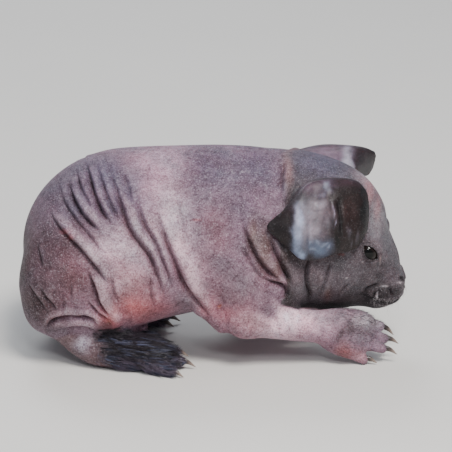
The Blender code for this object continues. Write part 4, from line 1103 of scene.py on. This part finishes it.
class Ink:
    """One value or colour in a material. Arithmetic on it adds Math nodes."""

    def __init__(self, tree, socket=None):
        self.tree, self.socket = tree, socket

    def node(self, kind, settings=None, sockets=None, output=0):
        """Adds a node: its settings first, then the values or links of its sockets."""
        made = self.tree.nodes.new(kind)
        for key, value in (settings or {}).items():
            setattr(made, key, value)
        self.feed(made, sockets or {})
        return Ink(self.tree, made.outputs[output])

    def feed(self, node, sockets):
        """Links inks to the node's sockets, and sets plain numbers and colours on them."""
        for key, value in sockets.items():
            if isinstance(value, Ink):
                self.tree.links.new(value.socket, node.inputs[key])
            else:
                node.inputs[key].default_value = value

    def sum_of(self, operation, first, second):
        return self.node("ShaderNodeMath", {"operation": operation}, {0: first, 1: second})

    def __add__(self, other):
        return self.sum_of("ADD", self, other)

    def __sub__(self, other):
        return self.sum_of("SUBTRACT", self, other)

    def __rsub__(self, other):
        return self.sum_of("SUBTRACT", other, self)

    def __mul__(self, other):
        return self.sum_of("MULTIPLY", self, other)

    __radd__, __rmul__ = __add__, __mul__


def between(ink, value, low, high):
    """0 below low, 1 above high, soft in between."""
    return ink.node("ShaderNodeMapRange", {"interpolation_type": "SMOOTHSTEP"},
                    {"Value": value, "From Min": low, "From Max": high})


def mixed(ink, share, first, second, way="MIX"):
    return ink.node("ShaderNodeMix", {"data_type": "RGBA", "blend_type": way, "clamp_factor": True},
                    {0: share, 6: first, 7: second}, 2)


def painted(ink, name, output=2):
    """The number kept for each point under this name, or with output 0 the colour."""
    return ink.node("ShaderNodeAttribute", {"attribute_name": name}, output=output)


def speckle(ink, place, scale, detail, roughness=0.5):
    sizes = {"Scale": scale, "Detail": detail, "Roughness": roughness}
    return ink.node("ShaderNodeTexNoise", None, {"Vector": place, **sizes})


def relief_of(ink, height, strength, depth):
    return ink.node("ShaderNodeBump", None, {"Height": height, "Strength": strength, "Distance": depth})


def finish_of(name, **fixed):
    """A new material, its main shader, the ink to draw its nodes with, and places on the object."""
    made = bpy.data.materials.new(name)
    made.use_nodes = True
    shader, ink = made.node_tree.nodes["Principled BSDF"], Ink(made.node_tree)
    for key, value in fixed.items():
        shader.inputs[key.replace("_", " ")].default_value = value
    return made, shader, ink, ink.node("ShaderNodeTexCoord", output=3)


hide, shader, ink, place = finish_of(
    "bare_hide", Subsurface_Weight=0.12, Subsurface_Radius=(1.0, 0.35, 0.25), Subsurface_Scale=0.0012,
    Specular_IOR_Level=0.28, Sheen_Weight=0.03, Sheen_Roughness=0.45, Sheen_Tint=(0.75, 0.78, 0.95, 1),
)
tone, ear_here = painted(ink, "hide", 0), painted(ink, "ear")
head_here, fur_here = painted(ink, "dark_head"), painted(ink, "furred")
grain = speckle(ink, place, 2300, 3, 0.65)
blotch = speckle(ink, place, 620, 5, 0.66)
pores = ink.node("ShaderNodeTexVoronoi", None, {"Vector": place, "Scale": 1500, "Randomness": 1})
nets = ink.node("ShaderNodeTexVoronoi", {"feature": "DISTANCE_TO_EDGE"}, {"Vector": place, "Scale": 2300})
stretch = ink.node("ShaderNodeMapping", None, {"Vector": place, "Scale": (0.35, 0.35, 1.0)})
lines = speckle(ink, stretch, 2600, 3, 0.6)
bare = 1 - 0.8 * ear_here
dark = (between(ink, grain, 0.54, 0.38) * 0.56 + between(ink, blotch, 0.52, 0.36) * 0.36) * bare
dark = dark + between(ink, lines, 0.52, 0.36) * 0.2 * bare
colour = mixed(ink, dark, tone, mixed(ink, 1.0, tone, (0.4, 0.3, 0.34, 1), "MULTIPLY"))
light = between(ink, grain, 0.54, 0.72) * 0.42 + between(ink, blotch, 0.54, 0.72) * 0.18
light = light * (bare - 0.6 * head_here)
colour = mixed(ink, light, colour, mixed(ink, 1.0, colour, (0.4, 0.36, 0.4, 1), "SCREEN"))
pale = between(ink, pores, 0.22, 0.06) * (0.04 + 0.42 * head_here) * (1 - fur_here) * (1 - ear_here)
colour = mixed(ink, pale, colour, (0.42, 0.37, 0.39, 1))
height = 0.75 * grain + 0.14 * between(ink, nets, 0.0, 0.2) + 0.55 * blotch + 0.45 * lines
ink.feed(shader, {
    "Base Color": colour,
    "Roughness": 0.62 - 0.16 * ear_here - 0.14 * blotch,
    "Normal": relief_of(ink, height * (1 - 0.6 * ear_here), 0.9, 0.3 * mm),
})
skin.data.materials.append(hide)
# The frame's floor lies under the middle of the animal's box, a little off the measures used here.
CENTRING = Vector(at(0.45, 0.05, 0))


def placed(piece, *nodes, slot):
    """Moves the piece with the body's centring, and lets it stand for its nodes of the frame."""
    piece.data.transform(Matrix.Translation(CENTRING))
    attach(piece, "root")
    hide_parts(*nodes)


FLESH_NODES = [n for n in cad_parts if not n.startswith(("eye", "claw"))]
placed(skin, *FLESH_NODES, slot="body_skin")

# The eyes: wet dark balls with a clear bulging front, set behind the lids. The iris is nearly as dark
# as the pupil, and a tear film gives the hard gloss.
wet, shader, ink, place = finish_of("wet_eye", Specular_IOR_Level=0.45, IOR=1.34)
front, fleck = painted(ink, "front"), speckle(ink, place, 2600, 2)
colour = mixed(ink, fleck, (0.005, 0.003, 0.003, 1), (0.012, 0.007, 0.006, 1))
colour = mixed(ink, between(ink, front, 0.62, 0.5), colour, (0.02, 0.014, 0.014, 1))
colour = mixed(ink, between(ink, front, 0.9, 0.93), colour, (0.002, 0.002, 0.002, 1))
ink.feed(shader, {"Base Color": colour, "Roughness": 0.03 + 0.03 * fleck})
for side, name in ((1, "eye_right"), (-1, "eye_left")):
    centre, along, across, out = eye_frame(side)
    turn = np.stack((along, across, out), axis=1)
    if np.linalg.det(turn) < 0:
        turn[:, 1] *= -1
    ball = bmesh.new()
    bmesh.ops.create_uvsphere(ball, u_segments=64, v_segments=40, radius=EYE_RADIUS * mm)
    for vert in ball.verts:
        front = max(vert.co.z / (EYE_RADIUS * mm), 0)
        vert.co *= 1 + 0.02 * step_up(front, 0.75, 0.95)
    ball.transform(Matrix.Translation(centre) @ Matrix(turn).to_4x4())
    eye = linked(name + "_ball", bpy.data.meshes.new(name + "_ball"))
    ball.to_mesh(eye.data)
    ball.free()
    eye.data.shade_smooth()
    attribute(eye.data, "front", (points_of(eye.data) - centre) @ out / (EYE_RADIUS * mm))
    eye.data.materials.append(wet)
    placed(eye, name, slot="eye")

# The claws: four on each forepaw and three on each hind foot, narrow curved horn, dark at the quick
# and clear at the tip. Each is rooted in its toe's skin and arches over to a point.
horn, shader, ink, place = finish_of("claw_horn", Coat_Weight=0.3, Coat_Roughness=0.12)
streak = speckle(ink, place, 1600, 3)
clear = between(ink, painted(ink, "reach") + 0.25 * streak, 0.45, 0.95)
ink.feed(shader, {
    "Base Color": mixed(ink, clear, (0.03, 0.018, 0.017, 1), (0.24, 0.18, 0.15, 1)),
    "Roughness": 0.28 + 0.15 * streak,
    "Normal": relief_of(ink, streak, 0.3, 0.08 * mm),
})
CLAW_SIDES, CLAW_RINGS = 14, 12
CLAW_THICK, CLAW_SUNK = 0.8, 1.2


def tube_sides(rings, sides):
    """The four corners of each face round a tube, ring after ring."""
    for ring in range(rings - 1):
        for k in range(sides):
            a, b = ring * sides + k, ring * sides + (k + 1) % sides
            yield a, b, b + sides, a + sides


def built(name, places, faces, finish):
    """A smooth mesh of this finish, none of it below the floor."""
    places[:, 2] = np.maximum(places[:, 2], 0.02 * mm)
    mesh = bpy.data.meshes.new(name)
    mesh.from_pydata(places.tolist(), [], faces)
    mesh.shade_smooth()
    mesh.materials.append(finish)
    return mesh


for foot, toes in TOES.items():
    for number, (_, tip, point) in enumerate(toes, 1):
        tip, point = at(*tip), at(*point)
        along = (point - tip) / np.linalg.norm(point - tip)
        length = np.linalg.norm(point - tip) + CLAW_SUNK * mm
        across = np.cross(along, (0, 0, 1))
        across /= np.linalg.norm(across)
        up = np.cross(across, along)
        verts, reaches = [], []
        for ring in range(CLAW_RINGS):
            share = ring / (CLAW_RINGS - 1)
            radius = CLAW_THICK * (1 - share**1.6) + 0.06
            arch = 0.45 * math.sin(math.pi * min(share * 1.1, 1)) - 0.1 * share
            middle = tip + along * (0.1 * mm + share * length) + up * (0.15 + arch) * mm
            for angle in (math.tau * k / CLAW_SIDES for k in range(CLAW_SIDES)):
                edge = math.cos(angle) * across * 0.68 + math.sin(angle) * up
                verts.append(middle + edge * radius * mm)
                reaches.append(share)
        last = (CLAW_RINGS - 1) * CLAW_SIDES
        ends = [range(CLAW_SIDES)[::-1], range(last, last + CLAW_SIDES)]
        faces = [ends[0], *tube_sides(CLAW_RINGS, CLAW_SIDES), ends[1]]
        name = f"claw_{foot}_{number}"
        claw = linked(name + "_horn", built(name + "_horn", np.array(verts), faces, horn))
        attribute(claw.data, "reach", np.array(reaches))
        placed(claw, name, slot="claw")

# The fur of the hind feet, the one thick coat on a bare pup: sleek black hair that lies towards the
# toes in wet-looking locks and fades out at the heel. Each tuft is a thin bent point in the skin.
skin.data.calc_loop_triangles()
corners = listed(skin.data.loop_triangles, "vertices", 3, np.int32)
skin_points = points_of(skin.data) - np.array(CENTRING)
skin_normals = normals_of(skin.data)
middles = skin_points[corners].mean(1)
first, second, third = (skin_points[corners[:, k]] for k in range(3))
areas = np.linalg.norm(np.cross(second - first, third - first), axis=1) / 2


def grown(here, cover, count, seed):
    """Roots on the skin with their normals, spread by area and by how these faces are covered."""
    chance = np.random.default_rng(seed)
    density = np.zeros(len(areas))
    density[here] = cover
    weight = areas * density
    faces = chance.choice(len(weight), count, p=weight / weight.sum())
    share = chance.dirichlet((1, 1, 1), count)
    roots = (skin_points[corners[faces]] * share[:, :, None]).sum(1)
    outs = (skin_normals[corners[faces]] * share[:, :, None]).sum(1)
    return roots, unit(outs), chance


RINGS, SIDES = 3, 3
TUFT_POINTS = RINGS * SIDES + 1
ROOT_DEPTH = 0.12 * mm
PATCH_RADIUS = 0.0015


def locked(roots, lie, lengths, stand, tones, locks, chance):
    """The hairs' lie, stand and tones with their tips gathered in so many dark and light locks, the light
    ones a painted bluish sheen.
    """
    heads = chance.choice(len(roots), locks, replace=False)
    tree = KDTree(locks)
    for number, root in enumerate(heads):
        tree.insert(roots[root], number)
    tree.balance()
    lock = np.array([tree.find(root)[1] for root in roots])
    swerve = chance.normal(0, 0.13, (locks, 3))[lock]
    lie = lie + 0.5 * (roots[heads[lock]] - roots) / lengths[:, None] + swerve
    stand = stand * chance.uniform(0.5, 1.6, locks)[lock]
    shade = tones[heads] * chance.uniform(0.5, 1.5, (locks, 1))
    # A fifth of the locks are pale bluish: painted sheen on the glossy hair.
    painted_sheen = tint(92, 96, 122) * chance.uniform(0.3, 1.1, (locks, 1))
    shade = np.where(chance.uniform(0, 1, (locks, 1)) < 0.2, painted_sheen, shade)
    return lie, stand, shade[lock] * chance.uniform(0.7, 1.3, (len(roots), 1))


def tufted(name, hairs, lie, lengths, width, stand, tones, unwrap, locks=0):
    """Joined tufts: each starts in the skin, leans along the lie and bends back towards it."""
    roots, outs, chance = hairs
    count, bend = len(roots), 0.5
    lie = unit(lie - (lie * outs).sum(1)[:, None] * outs, TINY)
    if locks:
        lie, stand, tones = locked(roots, lie, lengths, stand, tones, locks, chance)
    else:
        lie += chance.normal(0, 0.16, (count, 3))
    stand = stand + chance.normal(0, 0.06, count)
    first = unit(lie + outs * stand[:, None])
    side = unit(np.cross(first, outs), TINY)
    rise = np.cross(side, first)
    verts = []
    for share in (ring / RINGS for ring in range(RINGS)):
        middle = roots - outs * ROOT_DEPTH + first * (share * lengths)[:, None]
        middle -= outs * (bend * stand * share**2 * lengths)[:, None]
        radius = width * mm * (1 - 0.75 * share) / 2
        for angle in (math.tau * k / SIDES for k in range(SIDES)):
            verts.append(middle + radius * (math.cos(angle) * side + math.sin(angle) * rise * 0.7))
    verts.append(roots + first * lengths[:, None] - outs * (bend * stand * lengths)[:, None])
    pattern = [(0, 2, 1)]
    for a, b, c, d in tube_sides(RINGS, SIDES):
        pattern += [(a, b, c), (a, c, d)]
    last = (RINGS - 1) * SIDES
    pattern += [(last + k, last + (k + 1) % SIDES, TUFT_POINTS - 1) for k in range(SIDES)]
    faces = (np.arange(count)[:, None, None] * TUFT_POINTS + np.array(pattern)).reshape(-1, 3)
    made = linked(name, built(name, np.stack(verts, axis=1).reshape(-1, 3), faces.tolist(), sleek))
    attribute(made.data, "hide", np.repeat(tones, TUFT_POINTS, axis=0))
    attribute(made.data, "reach", np.tile([*np.repeat(np.arange(RINGS) / RINGS, SIDES), 1.0], count))
    ring = [(math.cos(a), math.sin(a)) for a in np.linspace(0, math.tau, TUFT_POINTS)]
    flat = np.repeat(unwrap, TUFT_POINTS, axis=0) + np.tile(np.array(ring) * PATCH_RADIUS, (count, 1))
    patch = made.data.uv_layers.new(name="OFBake")
    patch.data.foreach_set("uv", flat[faces.ravel()].astype(np.float32).ravel())
    made.data.transform(Matrix.Translation(CENTRING))
    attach(made, "root")


def unrolled(roots, start, end, column):
    """Each root's place on the limb's skin rolled out flat, kept in its own column of the map."""
    share, away = along_line(roots, start, end, -0.2, 1.4)
    around_limb = np.arctan2(away[:, 2], away[:, 1]) / math.tau + 0.5
    return np.stack((0.02 + (column + 0.9 * around_limb) / 4, 0.1 + 0.5 * (share + 0.2)), axis=1)


def on_limb(start, end, half):
    """Which faces of the skin lie in the box of this half-size about the line, and their middles."""
    here = (np.abs(middles - (start + end) / 2) < at(*half)).all(1)
    return here, middles[here]


def along_limb(start, end, count):
    return np.tile((end - start) / np.linalg.norm(end - start), (count, 1))


sleek, shader, ink, place = finish_of("sleek_fur", Specular_IOR_Level=0.5)
tone, strand = painted(ink, "hide", 0), speckle(ink, place, 2400, 2)
tipped = mixed(ink, strand, tone, (0.12, 0.1, 0.12, 1))
ink.feed(shader, {
    "Base Color": mixed(ink, 0.3 * painted(ink, "reach"), tone, tipped),
    "Roughness": 0.26 + 0.2 * strand,
})
FOOT_HAIRS, FOOT_LOCKS = 12000, 1500
BLACK, GREYED, LOW_FUR_GREY = tint(34, 28, 36), tint(112, 96, 104), tint(98, 87, 104)
FOOT_LINES = {
    "hind_right": (at(-34, -14.5, 4), at(-9, -18, 3)),
    "hind_left": (at(-39, 14.3, 4), at(-13.7, 17.9, 3)),
}
for column, (leg, (start, end)) in enumerate(FOOT_LINES.items()):
    here, inside = on_limb(start, end, (19, 11, 9))
    share = fur_share(inside, leg) ** 1.3 * (inside[:, 2] > 0.4 * mm)
    hairs = roots, _, chance = grown(here, share, FOOT_HAIRS, 40 + column)
    lie = along_limb(start, end, FOOT_HAIRS)
    sideways = np.cross((0, 0, 1), lie[0])
    lie = lie + sideways * ((roots - start) @ sideways)[:, None] * 28
    lengths = chance.uniform(2.4, 5.0, FOOT_HAIRS) * mm
    lengths *= 1 - 0.66 * step_up(roots[:, 0], end[0] - 7 * mm, end[0] + 1 * mm)
    furry = fur_share(roots, leg)
    lengths *= 0.4 + 0.6 * step_up(furry, 0.1, 0.9)
    thin = (1 - step_up(furry, 0.1, 0.8))[:, None]
    # Hair low on the foot, near the floor, is greyer.
    low = step_up(-roots[:, 2], -5.5 * mm, -2.5 * mm)[:, None]
    tones = BLACK + thin * 0.8 * (GREYED - BLACK) + low * (LOW_FUR_GREY - BLACK)
    tones = tones * chance.uniform(0.7, 1.3, FOOT_HAIRS)[:, None]
    tufted(f"fur_{leg}", hairs, lie, lengths, 0.11, 0.13, tones,
           unrolled(roots, start, end, column), FOOT_LOCKS)

# The hair of the forepaws: fine, short and sparse, dark and pale mixed, on the upper side of the paw
# and its toes only. It lies towards the claws.
PAW_HAIRS = 2600
PAW_LINES = {
    "fore_right": (at(30, -13, 10.2), at(46.4, -10.5, 6)),
    "fore_left": (at(19.5, 15, 6.4), at(34, 13, 2)),
}
for column, (leg, (start, end)) in enumerate(PAW_LINES.items(), 2):
    here, inside = on_limb(start, end, (11, 9, 9))
    forward, _ = along_line(inside, start, end)
    upper = skin_normals[corners[here, 0]][:, 2]
    share = limb_share(inside, leg) * step_up(forward, 0.0, 0.35) * step_up(upper, -0.2, 0.5)
    hairs = roots, _, chance = grown(here, share, PAW_HAIRS, 50 + column)
    lengths = chance.uniform(0.8, 1.9, PAW_HAIRS) * mm
    dark = chance.uniform(0, 1, PAW_HAIRS)[:, None] < 0.6
    tones = np.where(dark, tint(62, 50, 58), tint(150, 140, 148)) * chance.uniform(0.7, 1.2, (PAW_HAIRS, 1))
    tufted(f"paw_hair_{leg[5:]}", hairs, along_limb(start, end, PAW_HAIRS), lengths, 0.075, 0.28, tones,
           unrolled(roots, start, end, column))

# The hair of the lips: short pale bristles on the upper lip and chin, and a few longer ones among them. They
# hang down and a little back.
LIP_HAIRS = 520
chin = head_place((47.5, 0, 18.5))
here = around(middles, chin, 8)
inside = middles[here]
share = bell(line_gap(inside, mouth_line) - 1.2, 1.1) * (np.abs(head_side(inside)) > 1.5 * mm)
hairs = roots, _, chance = grown(here, share, LIP_HAIRS, 60)
lie = np.tile(HEAD_SWING @ np.array((-0.25, 0, -1.0)), (LIP_HAIRS, 1))
lie = lie + chance.normal(0, 0.25, (LIP_HAIRS, 3))
lengths = chance.uniform(0.7, 1.7, LIP_HAIRS) * mm
lengths[::24] *= 3
tones = tint(178, 170, 172) * chance.uniform(0.5, 1.2, (LIP_HAIRS, 1))
_, across, up = ((roots - chin) @ HEAD_SWING / mm).T
unwrap = np.stack((0.3 + across / 40, 0.8 + up / 60), axis=1)
tufted("lip_hair", hairs, lie, lengths, 0.07, 0.5, tones, unwrap)

# The floor: one plain sheet of pale matt paper, large enough to reach past the picture on every
# side. The pup's soles rest on it, and its belly hangs just clear.
floor = linked("floor", bpy.data.meshes.new("floor"))
floor.data.from_pydata([(-4, -4, 0), (4, -4, 0), (4, 6, 0), (-4, 6, 0)], [], [(0, 1, 2, 3)])
paper, shader, ink, place = finish_of("pale_floor", Roughness=0.85)
cloud = speckle(ink, place, 6, 3)
ink.feed(shader, {"Base Color": mixed(ink, cloud, (0.66, 0.64, 0.61, 1), (0.72, 0.7, 0.67, 1))})
floor.data.materials.append(paper)

# Soft light: a pale sky, a broad warm lamp high on the near side, a small one by the onlooker whose
# picture shows in the wet eye, and a cool one behind that lights the rim of the back and ears.
sky = bpy.data.worlds.new("soft_sky")
bpy.context.scene.world = sky
sky.use_nodes = True
glow = sky.node_tree.nodes["Background"].inputs
glow["Color"].default_value, glow["Strength"].default_value = (0.82, 0.88, 1.0, 1), 0.4
LIT_PLACE = Vector((0, 0, 0.03))
for name, power, size, place, warmth in (
    ("key", 9.8, 0.28, (0.2, -0.45, 0.75), (1.0, 0.97, 0.93)),
    ("window", 1.6, 0.15, (0.03, -0.64, 0.53), (0.93, 0.97, 1.0)),
    ("back", 3.5, 0.4, (-0.2, 0.6, 0.7), (0.9, 0.95, 1.0)),
):
    lamp = linked(name, bpy.data.lights.new(name, "AREA"))
    lamp.data.energy, lamp.data.size, lamp.data.color = power, size, warmth
    lamp.location = place
    lamp.rotation_euler = (LIT_PLACE - Vector(place)).to_track_quat("-Z", "Y").to_euler()

# The onlooker's place: level with the pup's right side and a little above it, far enough back that
# the near and far feet look the same size.
DISTANCE = 0.75
PICTURE_SIDE, DOTS_PER_MM = 452, 3.66
VIEW_WIDTH = PICTURE_SIDE / DOTS_PER_MM * mm
VIEW_MIDDLE = at(3.75, 0, 35.05)
FILM_WIDTH = 36
camera = linked("camera", bpy.data.cameras.new("camera"))
camera.data.sensor_width = FILM_WIDTH
camera.data.lens = FILM_WIDTH * DISTANCE / VIEW_WIDTH
camera.data.clip_start = 0.01
camera.location = Vector(VIEW_MIDDLE) - Vector(SIGHT) * DISTANCE
camera.rotation_euler = Vector(SIGHT).to_track_quat("-Z", "Y").to_euler()
bpy.context.scene.camera = camera
